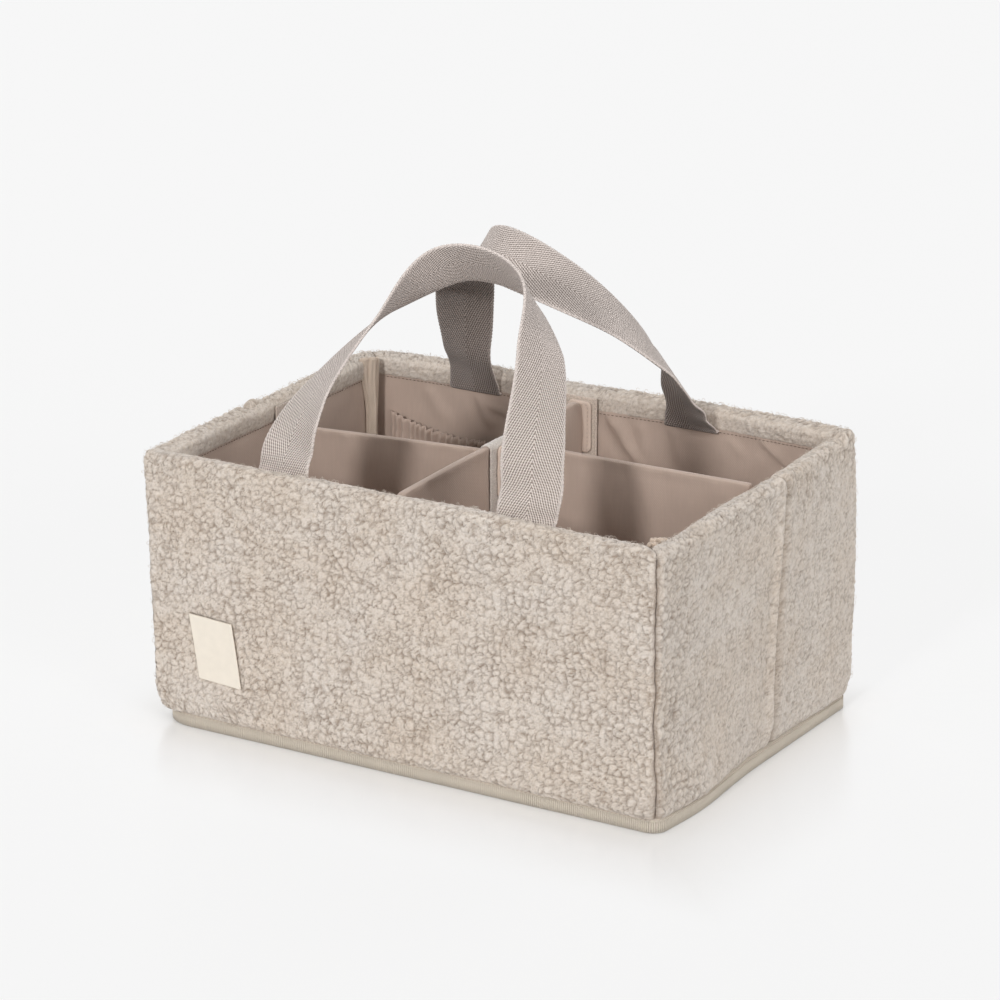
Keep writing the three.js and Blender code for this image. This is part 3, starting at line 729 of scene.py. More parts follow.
def pile(u, v, large, seed):
    """Height of the pile in millimetres about its middle, and its painted light share: painted
    shade in the gaps between curls, painted light on their tops.
    """
    size = sizes()
    wu = u + 1.7 * drift(u, v, 6.5, seed + 1) + 0.7 * drift(u, v, 2.4, seed + 2)
    wv = v + 1.7 * drift(u, v, 6.5, seed + 3) + 0.7 * drift(u, v, 2.4, seed + 4)
    dome, parting, painted_gap_shade, odd = curl_layer(wu, wv, size.curl_size, seed + 5, 0.19, 0.1, 0.4)
    fine_dome, fine_parting, fine_painted_gap_shade, fine_odd = curl_layer(
        wu, wv, size.nap_size, seed + 6, 0.24, 0.2, 0.5)
    winding = 1 - smooth(np.abs(drift(wu, wv, 6.5, seed + 11)) / (0.09 + 0.1 * odd))
    large = large * (0.6 + 0.4 * (0.5 + 0.5 * drift(u, v, 30, seed + 7)))
    tall = size.curl_height / MM
    height = large * tall * (0.6 * dome * (0.5 + 0.7 * odd) + 0.4 * parting - 0.35 * winding)
    fine = 0.6 * fine_dome * (0.5 + 0.8 * fine_odd) + 0.4 * fine_parting
    height += (0.95 - 0.55 * large) * fine + 0.16 * drift(u, v, 2.3, seed + 8)
    height -= 0.5 * tall * large + 0.35
    # Painted shade in the gaps and grooves between curls, and painted light on the curl domes
    painted_crevice_shade = 0.85 * large * np.maximum(painted_gap_shade, 0.8 * winding)
    painted_crevice_shade = painted_crevice_shade + 0.7 * (1.05 - 0.7 * large) * fine_painted_gap_shade
    return height, np.clip((1 - painted_crevice_shade) * (0.8 + 0.2 * dome), 0, 1)


def pressed_on_facing(wall, x):
    """Where a strap or a patch presses the facing flat, from 0 to 1, by place along the wall."""
    spots = [(WALLS[wall][2], PATCH_SIZE[0] / 2 + 1)]
    for handle in HANDLES.values():
        if wall == ("front" if handle["side"] < 0 else "rear"):
            flip = -1 if wall == "rear" else 1
            for end in (-1, 1):
                middle = flip * (handle["centre"] + end * handle["span"] / 2)
                spots.append((middle, sizes().webbing_width / MM / 2 + 1))
    return np.max([smooth((half + 3 - np.abs(x - spot)) / 4) for spot, half in spots], axis=0)


def label_spot(across, up):
    """Where a point of the label lies on the front: sewn on a little crooked and sheared."""
    side, foot = math.radians(LABEL_LEAN), math.radians(LABEL_FALL)
    return (LABEL_PLACE[0] + across * math.cos(foot) - up * math.sin(side),
            LABEL_PLACE[1] + up * math.cos(side) - across * math.sin(foot))


def on_label(x, z):
    """1 inside the label, falling to 0 just outside it; places on the front wall."""
    side, foot = math.radians(LABEL_LEAN), math.radians(LABEL_FALL)
    dx, dz = x - LABEL_PLACE[0], z - LABEL_PLACE[1]
    whole = math.cos(foot) * math.cos(side) - math.sin(foot) * math.sin(side)
    across = (dx * math.cos(side) + dz * math.sin(side)) / whole
    up = (dz * math.cos(foot) + dx * math.sin(foot)) / whole
    out = np.maximum(np.abs(across) - LABEL_SIZE[0] / 2, np.abs(up) - LABEL_SIZE[1] / 2)
    return smooth((1.6 - out) / 1.8)


def wavy_seams(points):
    """Lets the two corner seams wander a little on their way up."""
    x, y, z = points.T
    moved = points.copy()
    for sign in (1, -1):
        away = np.hypot(x - sign * HALF_LENGTH, y + sign * HALF_WIDTH)
        sway = 1.5 * drift(z, 0 * z, 21, 57 + sign) + 0.7 * drift(z, 0 * z, 8, 67 + sign)
        shift = sway * bump(away, 0, 9) * smooth((z - 12) / 15)
        moved[:, :2] += shift[:, None] * math.sqrt(0.5)
    return moved


def wall_places(length):
    """Places along a wall as wall_run reads them, and how far each is from its plain corner."""
    straight = round((length - 16) / (sizes().fleece_step / MM))
    place = np.concatenate([
        np.linspace(-1, 0, ROLL_STEPS, endpoint=False), np.linspace(0, 1, straight, endpoint=False),
        np.linspace(1, 2, ARC_STEPS + 1),
    ])
    flat = length - CORNER_RADIUS - (1 + math.sqrt(2)) * ROLL_RADIUS
    half_arc = CORNER_RADIUS * math.pi / 4
    distance = np.where(place < 0, place * ROLL_RUN, np.where(
        place < 1, np.clip(place, 0, 1) * flat, flat + (place - 1) * half_arc))
    return place, flat + half_arc - distance


def creased(along, inset, height, relief, openness):
    """Draws the upright fold of an end wall into its height and relief, and paints shade along it
    by lowering the painted light share.
    """
    crease = HALF_WIDTH + FOLD_OFFSET
    outer = smooth((8 - inset) / 6)
    relief = relief * (1 - 0.6 * outer * bump(along, crease - 3, 9))
    deep = outer * (0.3 + 0.7 * smooth((height - WALL_BOTTOM - 2) / 16))
    relief += deep * (2.8 * bump(along, crease - 8, 3.8) - 4.4 * bump(along, crease, 2.8)
                      + 1.2 * bump(along, crease + 8, 5))
    height = height - 1.6 * smooth((height - 150) / 40) * bump(along, crease, 6)
    # Painted shade along the fold
    return height, relief, openness * (1 - 0.85 * outer * bump(along, crease, 3.0))


def fleece_wall(wall, seed):
    """One wall of the fleece, from its seamed corner to the middle of its plain corner; gives its
    points, its faces and how many stray fibres stand at each point."""
    long_side = wall in ("front", "rear")
    length = 2 * (HALF_LENGTH if long_side else HALF_WIDTH)
    section, outward, run = shell_section()
    place, from_corner = wall_places(length)
    place, s = np.meshgrid(place, run)
    rows, columns = place.shape
    u = np.broadcast_to(from_corner, place.shape)
    inset, height, out_inset, out_height = (
        np.repeat(field[:, None], columns, 1) for field in (*section.T, *outward.T))
    beyond = u if long_side else -u
    along = length - u
    large = np.ones(place.shape)
    if not long_side:
        large = 1 - 0.55 * smooth((along - 34) / 46) * smooth((HEIGHT - 3 - height) / 30)
    large = large * (1 - 0.55 * smooth((inset - 8) / 5))
    relief, openness = pile(beyond, s, large, seed)

    facing = smooth((inset - 11) / 2)
    x_on_wall = HALF_LENGTH - along if long_side else along - HALF_WIDTH
    pressed = facing * pressed_on_facing(wall, -x_on_wall if wall == "rear" else x_on_wall)
    if wall == "front":
        pressed = np.maximum(pressed, 1.6 * on_label(x_on_wall, height) * (inset < 2))
    relief = relief * (1 - np.minimum(pressed, 1)) - 1.1 * pressed
    # Painted light: the facing is drawn paler by raising its painted light share
    openness = openness + 0.3 * facing * (1 - openness)
    edge = np.minimum(s / 5, 1) * (0.35 + 0.65 * smooth((run[-1] - s - 2) / 7))
    relief = relief * edge + 0.9 * drift(beyond, s, 55, seed + 9) * edge * (1 - facing)
    ragged = smooth((inset - 8.5) / 3) * smooth((HEIGHT - 9 - height) / 5)
    height = height - ragged * 0.5 * drift(beyond, 0 * s, 6, seed + 10)
    if not long_side:
        height, relief, openness = creased(along, inset, height, relief, openness)
    height = height - 4.5 * smooth((height - 172) / 18) * bump(along, 0, 7)
    fuzz = 0.2 + 0.8 * bump(height, HEIGHT, 12) * (inset < 11) + 0.4 * facing
    # Painted shade where the outer fleece rolls into the corner seam, by a lower painted light
    # share
    openness = openness * (1 - 0.7 * bump(place, -1, 0.55) * (inset < 6))
    inset = inset + relief * out_inset
    height = height + relief * out_height
    a, d = wall_run(length, inset, height, place)
    if long_side:
        points = rows_of(HALF_LENGTH - a, d - HALF_WIDTH, height)
    else:
        points = rows_of(d - HALF_LENGTH, HALF_WIDTH - a, height)
    if wall in ("rear", "right"):
        points = turned(points, 180)
    points = slump(wavy_seams(points))
    faces = quads(grid_index(rows, columns), flip=long_side)
    fuzz = fuzz.ravel()
    piece = make_piece(f"{wall}_fleece", points, faces, finish("fleece"),
                       values={"openness": openness.ravel(), "fuzz": fuzz})
    node = "front_left_shell" if wall in ("front", "left") else "rear_right_shell"
    attach(piece, "caddy", "fleece", node)
    return points, faces, fuzz


# Lining, boards, tapes and patches


def bent_line(inset, radius, step):
    """Plan line of a lining cloth from the front right seam to the rear left seam, round the front
    left corner; its direction inwards, and the run along it."""
    x, y = HALF_LENGTH - inset, HALF_WIDTH - inset
    line = [(x - 0.3, -y), *arc((radius - x, radius - y), (radius, radius), 270, 180, 7),
            (-x, y - 0.3)]
    even, way, run = polyline(line, step)
    return even, np.stack([way[:, 1], -way[:, 0]], 1), run


def fold(u, v, start, end, width, depth):
    """A soft crease from one point to another: a hollow with a ridge beside it."""
    start, end = np.array(start, float), np.array(end, float)
    way = end - start
    length = np.linalg.norm(way)
    way = way / length
    along = ((u - start[0]) * way[0] + (v - start[1]) * way[1]) / length
    beside = ((v - start[1]) * way[0] - (u - start[0]) * way[1]) / width
    taper = smooth(along / 0.25) * smooth((1 - along) / 0.35)
    return depth * taper * (np.exp(-beside ** 2) - 0.7 * np.exp(-(beside - 1.6) ** 2))


# Folds of the linings: x and z of one end on the long wall, of the other end, width and depth
FRONT_FOLDS = ((-120, 168, -96, 120, 6, 1.6), (60, 170, 88, 126, 6, -1.8))
REAR_FOLDS = (
    (1, 175, 33, 132, 3.7, -4.4), (17, 176, 24, 146, 3.0, 1.6), (33, 176, 37, 146, 3.5, 1.3),
    (48, 176, 58, 140, 4.5, -1.6), (66, 169, 90, 171, 1.6, -1.4), (108, 179, 150, 150, 2.8, -3.4),
    (96, 176, 112, 158, 3.5, 1.2), (-102, 171, -90, 146, 3.0, -3.6),
    (-92, 162, -64, 156, 2.2, -2.8), (-60, 174, -48, 150, 4, 1.2), (-140, 174, -120, 146, 5, 1.4),
)


def lining(name, node, turn, seed, folds):
    """One lining cloth, hung from the facing; it stands a little inwards in soft wrinkles."""
    plan, inward, run = bent_line(LINING_MIDDLE, radius=3.0, step=2.6)
    heights = np.concatenate([np.linspace(WALL_BOTTOM, 166, 60), np.linspace(168, 177, 6)])
    u, z = np.meshgrid(run, heights)
    wave = 1.1 * drift(u + 0.4 * z, z - 0.3 * u, 48, seed)
    wave = wave + 0.6 * drift(u - 0.5 * z, z, 21, seed + 1)
    wave = wave + 0.55 * drift(u, z * 0.25, 7.5, seed + 2) * smooth((z - 130) / 40)
    middle = HALF_LENGTH - LINING_MIDDLE
    for x0, z0, x1, z1, width, depth in folds:
        wave = wave + fold(u, z, (middle + x0, z0), (middle + x1, z1), width, depth)
    hold = smooth((z - WALL_BOTTOM) / 25) * smooth((178 - z) / 10)
    ends = smooth(u / 14) * smooth((run[-1] - u) / 14)
    wave = np.clip(wave + 0.5, -0.2, 3.2) * hold * ends
    points = rows_of(plan[:, 0] + inward[:, 0] * wave, plan[:, 1] + inward[:, 1] * wave, z)
    piece = make_piece(name, slump(turned(points, turn)), quads(grid_index(*u.shape), flip=True),
                       finish("cotton"), uv=rows_of(u, z))
    thicken(piece, LINING_THICKNESS)
    attach(piece, "caddy", "cotton", node)


def wall_board(name, axis, place):
    """A stiffener sheet with eased edges that follows the slump of its wall."""
    low, high = node_box(name)
    height = HEIGHT - BOARD_DROP - low[2]
    points, faces, _, _ = pillow(
        high[axis] - low[axis], height, thickness=BOARD_THICKNESS, rounding=0.9, step=12,
        top_radius=1.5, bottom_radius=1.5)
    points[:, 2] += low[2]
    piece = make_piece(f"{name}_sheet", slump(place(points)), faces, finish("board"))
    attach(piece, "caddy", "stiffener", name)


def wall_boards():
    """Six stiffener sheets between the fleece and the lining."""
    for wall in ("front", "rear"):
        turn, reach, _ = WALLS[wall]
        inwards = np.array([0, BOARD_INSET + BOARD_THICKNESS / 2 - reach, 0])
        wall_board(f"{wall}_wall_board", 0, lambda p: turned(p + inwards, turn))
    for wall in ("right", "left"):
        for half in ("front", "rear"):
            x, y, _ = sum(node_box(f"{wall}_wall_{half}_board")) / 2
            wall_board(f"{wall}_wall_{half}_board", 1, lambda p: turned(p, 90, (x, y, 0)))


def seam_tape(node, turn):
    """Bound seam allowance that stands in a corner: a padded strip whose two leaves part at the
    top, where they are slit and wrinkled."""
    low, high = node_box("rear_left_seam_tape")
    height = high[2] + SEAM_TAPE_RISE - low[2]
    points, faces = [], []
    for leaf, width, lift in ((-1, 12.0, 0.0), (1, 8.0, -1.5)):
        crest = height + lift
        p, f, away, side = pillow(width, crest, thickness=3.6, rounding=1.7, step=0.9,
                                  top_radius=2, bottom_radius=0.5)
        x, z = p[:, 0].copy(), p[:, 2].copy()
        top = smooth((z - 140) / 40)
        slits = fold(x, z, (2.0, crest + 9), (-0.6, crest - 24), 0.8, 1.7)
        slits = slits + fold(x, z, (-4.2, crest + 9), (-2.6, crest - 66), 0.9, 1.2)
        slits = slits + 0.35 * drift(x, z * 0.12, 2.0, 77) * (0.4 + 0.6 * top)
        p[:, 1] -= side * slits * smooth(away / 1.2)
        p[:, 2] += 1.3 * drift(x, 0 * z, 2.6, 78) * smooth((z - crest + 9) / 9)
        p[:, 0] *= 0.62 + 0.36 * top
        p[:, 1] += leaf * (0.9 + 1.5 * top) - 0.3 * side * bump(away, 3.0, 0.7)
        z = p[:, 2]
        p[:, 1] += 0.5 * drift(p[:, 0], z, 16, 71 + leaf) * smooth((z - 40) / 80)
        p[:, 0] += leaf * (1.1 + 1.2 * top) - 0.9 - 1.7 * top
        p[:, 0] += 1.1 * drift(0 * z, z, 40, 75) * (z / height)
        faces.append(f + sum(len(q) for q in points))
        points.append(p)
    points = np.concatenate(points)
    uv = points[:, [0, 2]]
    points[:, 2] += low[2]
    x, y, _ = (low + high) / 2 + np.array([-1.8, -1.2, 0])
    points = slump(turned(turned(points, 40, (x, y, 0)), turn))
    piece = make_piece(f"{node}_binding", points, np.concatenate(faces), finish("tape"), uv=uv)
    attach(piece, "caddy", "cotton", node)


def wall_patch(wall):
    """Square of loop tape sewn over the seam of facing and lining."""
    width, height = PATCH_SIZE
    points, faces, away, side = pillow(width, height, thickness=1.0, rounding=0.45, step=1.3,
                                       top_radius=1.2, bottom_radius=1.2)
    points[:, 2] += PATCH_TOP - height
    fuzz = 0.12 * drift(points[:, 0], points[:, 2], 1.6, 91) * (away > 1.8)
    points[:, 1] = 0.5 - points[:, 1] + np.where(side < 0, fuzz, 0)
    piece = make_piece(f"{wall}_loop_patch", slump(onto_wall(points, wall, PATCH_INSET)),
                       faces[:, ::-1], finish("patch"), uv=points[:, [0, 2]])
    attach(piece, "caddy", "hook_and_loop", f"{wall}_wall_patch")


def label_piece():
    """Bare cotton label, a little crooked, its edges pressed into the pile."""
    points, faces, _, _ = pillow(*LABEL_SIZE, thickness=1.1, rounding=0.5, step=1.5,
                                 top_radius=0.8, bottom_radius=0.8)
    points[:, 2] -= LABEL_SIZE[1] / 2
    across, through, up = points.T
    lift = 0.35 * drift(across, up, 17, 33)
    curl = 0.5 * smooth((np.hypot(across / 16.5, up / 22.5) - 0.9) / 0.5)
    x, z = label_spot(across, up)
    y = through - HALF_WIDTH + 0.35 + lift * 0.6 - curl * 0.3
    piece = make_piece("label_patch", slump(np.stack([x, y, z], 1)), faces, finish("label"),
                       uv=points[:, [0, 2]])
    attach(piece, "caddy", "label", "front_label")


# Base


# First angle of each rounded corner of the base, the signs of its x and y, and its radius
BASE_CORNERS = ((-90, 1, -1, 9), (0, 1, 1, 14), (90, -1, 1, 10), (180, -1, -1, 27))
TAPE_DEPTH = 5.0
TAPE_SECTION = (
    (-5.0, 0.5), (-4.4, 0.05), (-0.8, 0.05), (-0.2, 0.5), (0, 1.3), (0.05, 3.8), (0.05, 6.0),
    (-0.2, 7.4), (-0.7, 8.2), (-1.5, 8.7), (-2.6, 8.9), (-4.2, 8.9), (-5.0, 8.0),
)
TAPE_UNDERLAP = 1.8


def base_line(inset, step):
    """Plan line round the base at an inset, with its outward direction; the foot of the right wall
    pushes it out a little."""
    x, y = HALF_LENGTH - inset, HALF_WIDTH - inset
    line = []
    for start, sx, sy, radius in BASE_CORNERS:
        line += arc((sx * (x - radius), sy * (y - radius)), (radius, radius), start, start + 90, 13)
    even = polyline([*line, line[0]], step)[0][:-1]
    even[:, 0] += right_bulge(even[:, 0], even[:, 1])
    way = unit(np.roll(even, -1, 0) - np.roll(even, 1, 0))
    return even, np.stack([way[:, 1], -way[:, 0]], 1)


def tape_wobble(count, step):
    """How far the base tape strays outwards at even steps along its plan line."""
    return 0.25 * drift(np.arange(count) * step, np.zeros(count), 60, 51)


def within_tape(points):
    """Rounds the corners of a flat piece and pushes out its right side, as the base tape goes."""
    x, y = points[:, 0], points[:, 1]
    half_x, half_y = x.max(), y.max()
    for _, sx, sy, radius in BASE_CORNERS:
        radius -= TAPE_DEPTH
        dx, dy = sx * x - (half_x - radius), sy * y - (half_y - radius)
        far = np.maximum(np.hypot(dx, dy), 1e-6)
        inwards = np.where((dx > 0) & (dy > 0), np.maximum(dx, dy) / far, 1)
        x = np.where(inwards < 1, sx * (half_x - radius + dx * inwards), x)
        y = np.where(inwards < 1, sy * (half_y - radius + dy * inwards), y)
    return np.column_stack([x + right_bulge(x, y), y, points[:, 2]])


def base_pieces():
    """Ribbed binding, cloth under the base and floor lining; the base boards keep their solids."""
    step = 3.0
    plan, outward = base_line(0.6, step)
    count = len(plan)
    wobble = tape_wobble(count, step)[:, None]
    points = np.concatenate([
        np.column_stack([plan + outward * (offset + wobble), np.full(count, z)])
        for offset, z in TAPE_SECTION])
    index = grid_index(len(TAPE_SECTION), count, wrap=True)
    faces = quads(np.vstack([index, index[:1]]), flip=True)
    binding = make_piece("base_tape", points, faces, finish("grosgrain"))
    attach(binding, "caddy", "grosgrain", "base_binding")

    low, high = node_box("base_cloth")
    width, depth = high[0] - low[0], high[1] - low[1]

    def laid(thickness, rounding, step, middle):
        """A flat cloth that runs in under the tape, and how far its points are from its edge."""
        across, along = width + TAPE_UNDERLAP, depth + TAPE_UNDERLAP
        points, faces, away, _ = pillow(across, along, thickness, rounding, step, 1.5, 1.5)
        x, y, z = points.T
        return within_tape(np.stack([x, z - along / 2, y + middle], 1)), faces, away

    points, faces, away = laid(thickness=1.5, rounding=0.6, step=5, middle=0.8)
    x, y = points[:, 0], points[:, 1]
    points[:, 2] += 0.45 * bump(y, 0, 3)
    points[:, 2] += 0.25 * smooth(away / 20) * (0.5 + 0.5 * drift(x, y, 60, 53))
    canvas = make_piece("base_canvas", points, faces, finish("canvas"))
    attach(canvas, "caddy", "canvas", "base_cloth")

    points, faces, away = laid(thickness=1.2, rounding=0.55, step=3.2, middle=6.85)
    x, y = points[:, 0], points[:, 1]
    ripple = 0.5 * drift(x, y, 42, 55) + 0.3 * drift(x + y, y - x, 17, 56)
    points[:, 2] += np.clip(ripple + 0.1, 0, 0.9) * smooth(away / 12) - 0.5 * bump(y, 0, 4)
    floor = make_piece("floor_cloth", points, faces, finish("cotton"))
    attach(floor, "caddy", "cotton", "floor_lining")


# Pocket


POCKET_FLAT = (190, 135)
POCKET_BULGE = 10
HEM_SAG = 8
HEM_STEPS = 12
ELASTIC_WIDTH = 6
ELASTIC_RIBS = 70


def pocket_pieces():
    """Gathered pocket on the rear lining and the elastic behind its hem."""
    low, high = node_box("rear_pocket")
    left, width, bottom, top = low[0], high[0] - low[0], low[2], high[2]
    gathers = sizes().gathers
    columns, rows = gathers * HEM_STEPS + 1, 44
    share, rise = np.meshgrid(np.linspace(0, 1, columns), np.linspace(0, 1, rows) ** 0.85)
    arch = np.sin(math.pi * share)
    uneven = share + 0.02 * drift(share * 160, 0 * share, 15, 61) * arch
    phase = 2 * math.pi * gathers * uneven + 1.3 * drift(share * 160, rise * 60, 19, 62)
    cinch = 0.25 + 0.75 * smooth((rise - 0.25) / 0.6)
    pinch = 1 - 0.5 * bump(rise, 0.93, 0.014)
    folds = (0.5 - 0.5 * np.cos(phase)) ** 0.75
    depth = (2.6 + 1.6 * drift(share * 160, rise * 30, 9, 63)) * cinch * pinch
    depth = depth * np.sin(math.pi * np.clip(share, 0.004, 0.996)) ** 0.3
    bulge = POCKET_BULGE * arch ** 0.6 * np.sin(math.pi / 2 * rise)
    hem = top - HEM_SAG * arch + 0.7 * np.sin(phase + 1.2) * arch
    x = left + width * share + 0.8 * np.sin(phase) * cinch * arch
    y = HALF_WIDTH - LINING_FACE - 0.8 - bulge - np.maximum(folds * depth, 0) * 1.6
    points = rows_of(x, y, bottom + (hem - bottom) * rise)
    pocket = make_piece("gathered_pocket", slump(points), quads(grid_index(rows, columns)),
                        finish("cotton"), uv=rows_of(share * POCKET_FLAT[0], rise * POCKET_FLAT[1]))
    thicken(pocket, 0.8)
    attach(pocket, "caddy", "cotton", "rear_pocket")

    rows, columns = 7, 160
    share, rise = np.meshgrid(np.linspace(0.1, 0.9, columns), np.linspace(0, 1, rows))
    arch = np.sin(math.pi * share)
    x = left + width * share
    ribs = 0.12 * np.sin(2 * math.pi * ELASTIC_RIBS * share)
    y = HALF_WIDTH - LINING_FACE - POCKET_BULGE * arch ** 0.6 + 0.8 + ribs
    z = top - HEM_SAG * arch - 4 - ELASTIC_WIDTH * (1 - rise)
    band = make_piece("pocket_elastic_band", slump(rows_of(x, y, z)),
                      quads(grid_index(rows, columns)), finish("elastic"), uv=rows_of(x, z))
    thicken(band, 0.6)
    attach(band, "caddy", "elastic", "pocket_elastic")


# Dividers


END_OVERLAP = 2.1
DIVIDER_CORNERS = {"cross_divider": 11, "left_divider": 7, "right_divider": 1.6}
BOARD_MARGIN = 6


def panel(width, height, seed, thickness, rounding, step, corner, margin=0):
    """One layer of a divider, smaller than the panel by a margin, and bent out of its plane as
    board and cover are alike."""
    points, faces, away, side = pillow(
        width - 2 * margin, height - 2 * margin, thickness, rounding, step, corner, 1.5)
    points[:, 2] += margin
    x, z = points[:, 0], points[:, 2]
    held = smooth((width / 2 - np.abs(x)) / 9) * smooth(z / 9) * smooth((height - z) / 9)
    broad = 1.6 * drift(x, z * 0.35, 62, seed) + 0.8 * drift(x + 0.3 * z, z * 0.5, 24, seed + 1)
    points[:, 1] += broad * held
    return points, faces, away, side


def divider(name, seed, place, shear=0.0):
    """A divider: sewn cover, a padded panel with a stitched edge, closed round its board."""
    low, high = node_box(f"{name}_cover")
    width = high[1] - low[1] + 2 * END_OVERLAP if name == "cross_divider" else high[0] - low[0]
    height = high[2] - low[2]
    corner = DIVIDER_CORNERS[name]

    def placed(points):
        points = points.copy()
        points[:, 2] += low[2] + shear * points[:, 0] * smooth(points[:, 2] / height)
        return slump(place(points))

    points, faces, away, side = panel(width, height, seed, thickness=5.0, rounding=1.1,
                                      step=2.6, corner=corner)
    x, z = points[:, 0], points[:, 2]
    puckers = 1.1 * drift(x + 0.35 * z, z * 0.25, 11, seed + 2) * np.exp(-away / 14)
    seam = 0.5 * bump(away, 5.5, 0.9) * (height - z < 14)
    points[:, 1] += side * (np.maximum(puckers, -0.4) * smooth(away / 3) - seam)
    cover = make_piece(f"{name}_cloth", placed(points), faces, finish("cotton"),
                       uv=np.stack([x + 300 * (side > 0), z], 1))
    attach(cover, name, "cotton", f"{name}_cover")

    points, faces, _, _ = panel(width, height, seed, thickness=1.8, rounding=0.7, step=5,
                                corner=max(corner - 4, 1.5), margin=BOARD_MARGIN)
    sheet = make_piece(f"{name}_sheet", placed(points), faces, finish("board"))
    attach(sheet, name, "stiffener", f"{name}_board")


def tab(node, body, place):
    """Hook tab on the end of a divider: soft edges, rounded corners."""
    points, faces, away, side = pillow(*TAB_SIZE, thickness=2.0, rounding=0.9, step=1.6,
                                       top_radius=4, bottom_radius=4)
    dent = 0.25 * bump(away, 2.2, 0.5)
    points[:, 1] += 0.2 * drift(points[:, 0], points[:, 2], 14, 81) - side * dent
    points[:, 2] += node_box(node)[0][2]
    piece = make_piece(f"{node}_cloth", slump(place(points)), faces, finish("tab"),
                       uv=points[:, [0, 2]])
    attach(piece, body, "cotton", node)


def tab_on_wall(wall):
    return lambda p: onto_wall(p + np.array([0, 1.0, 0]), wall, TAB_INSET)


def crossing_tape():
    """Loop tape folded over the top of the cross divider, fuzzy where the other panels press on."""
    low, high = node_box("crossing_loop_tape")
    half, height = (high[0] - low[0]) / 2 - 0.5, high[2] - low[2]
    line = [(-half, 0), (-half, height - 3.2), *arc((0, height - 3.6), (half, 3.1), 180, 0, 9),
            (half, 0)]
    even, way, run = polyline(line, 0.9)
    y, s = np.meshgrid(np.linspace(low[1] + 0.4, high[1] - 0.4, 34), run)
    fuzz = 0.28 * drift(y, s, 1.9, 85) + 0.3 * drift(y, s, 5, 86)
    x = even[:, :1] - way[:, 1:] * fuzz + CROSS_X
    z = even[:, 1:] + way[:, :1] * fuzz + low[2]
    piece = make_piece("crossing_loop_band", slump(rows_of(x, y, z)), quads(grid_index(*y.shape)),
                       finish("loops"))
    thicken(piece, 0.8)
    attach(piece, "cross_divider", "hook_and_loop", "crossing_loop_tape")


def divider_pieces():
    """Covers with their boards, tabs and the crossing tape."""
    divider("cross_divider", 101, lambda p: turned(p, 90, (CROSS_X, 0, 0)))
    tab("cross_divider_front_tab", "cross_divider", tab_on_wall("front"))
    tab("cross_divider_rear_tab", "cross_divider", tab_on_wall("rear"))
    crossing_tape()
    for name, wall, y, seed, shear in (
            ("left_divider", "left", LEFT_DIVIDER_Y, 111, 0.055),
            ("right_divider", "right", RIGHT_DIVIDER_Y, 121, 0.0)):
        middle, inner = (sum(node_box(f"{name}_{part}"))[0] / 2 for part in ("cover", "inner_tab"))
        divider(name, seed, lambda p: p + np.array([middle, y, 0]), shear)
        tab(f"{name}_outer_tab", name, tab_on_wall(wall))
        tab(f"{name}_inner_tab", name, lambda p: turned(p, 90, (inner, y, 0)))


# Handles


def catmull(points, t, even=False):
    """Points on the smooth line through given ones, at shares t; centripetal unless even."""
    points = np.asarray(points, float)
    last = len(points) - 1
    padded = np.vstack([2 * points[0] - points[1], points, 2 * points[-1] - points[-2]])
    spot = np.clip(t, 0, 1) * last
    i = np.minimum(spot.astype(int), last - 1)
    w = (spot - i)[:, None]
    p0, p1, p2, p3 = (padded[i + k] for k in range(4))
    if even:
        m1, m2 = (p2 - p0) / 2, (p3 - p1) / 2
    else:
        d0, d1, d2 = (np.sqrt(np.linalg.norm(b - a, axis=1))[:, None]
                      for a, b in ((p0, p1), (p1, p2), (p2, p3)))
        m1 = ((p1 - p0) / d0 - (p2 - p0) / (d0 + d1) + (p2 - p1) / d1) * d1
        m2 = ((p2 - p1) / d1 - (p3 - p1) / (d1 + d2) + (p3 - p2) / d2) * d1
    return (p1 + m1 * w + (3 * (p2 - p1) - 2 * m1 - m2) * w ** 2
            + (2 * (p1 - p2) + m1 + m2) * w ** 3)


def strap_line(handle):
    """Middle line of a strap with the direction of its width: tail, foot, arch, foot, tail."""
    side = handle["side"]
    foot_y = side * (HALF_WIDTH - STRAP_INSET)
    lean = math.atan2(handle["reach"], handle["rise"])

    def point(x, height, inwards):
        across = handle["centre"] + x * handle["span"] / 2
        return across, foot_y - side * inwards, HINGE_HEIGHT + height

    stretch = (FOOT_STRETCH * math.cos(lean), FOOT_STRETCH * math.sin(lean))
    rows = handle["rows"]
    route = [point(-1, 0, 0), point(-1, *stretch)]
    route += [point(x, h * handle["rise"], r * handle["reach"]) for x, h, r, _ in rows]
    route += [point(1, *stretch), point(1, 0, 0)]
    t = np.linspace(0, 1, 901)
    arch = catmull(route, t)
    turn_shares = [[0], [0], *[[row[3]] for row in rows], [0], [0]]
    turn = np.radians(handle["turn"]) * side * catmull(turn_shares, t, even=True)[:, 0]
    way = unit(np.gradient(arch, axis=0))
    across = unit(np.array([0, 1, 0]) - way * way[:, 1:2])
    width = np.cross(across, way) * np.cos(turn)[:, None] + across * np.sin(turn)[:, None]

    def tail(end):
        """From the hidden end up to the foot."""
        x = handle["centre"] + end * handle["span"] / 2
        profile = [(TAIL_INSET, 142), (TAIL_INSET, 170), (TAIL_INSET + 0.4, 173.6),
                   (12.4, 174.9), (14.6, 175.4), (STRAP_INSET, 177.6), (STRAP_INSET, 184),
                   (STRAP_INSET, HINGE_HEIGHT - 0.4)]
        line = [(x, side * (HALF_WIDTH - inset), z) for inset, z in profile]
        return catmull(line, np.linspace(0, 1, 120))

    left, right = tail(-1), tail(1)[::-1]
    line = np.vstack([left, arch, right])
    widths = np.vstack([np.tile([1.0, 0, 0], (len(left), 1)), width,
                        np.tile([-1.0, 0, 0], (len(right), 1))])
    return line, widths


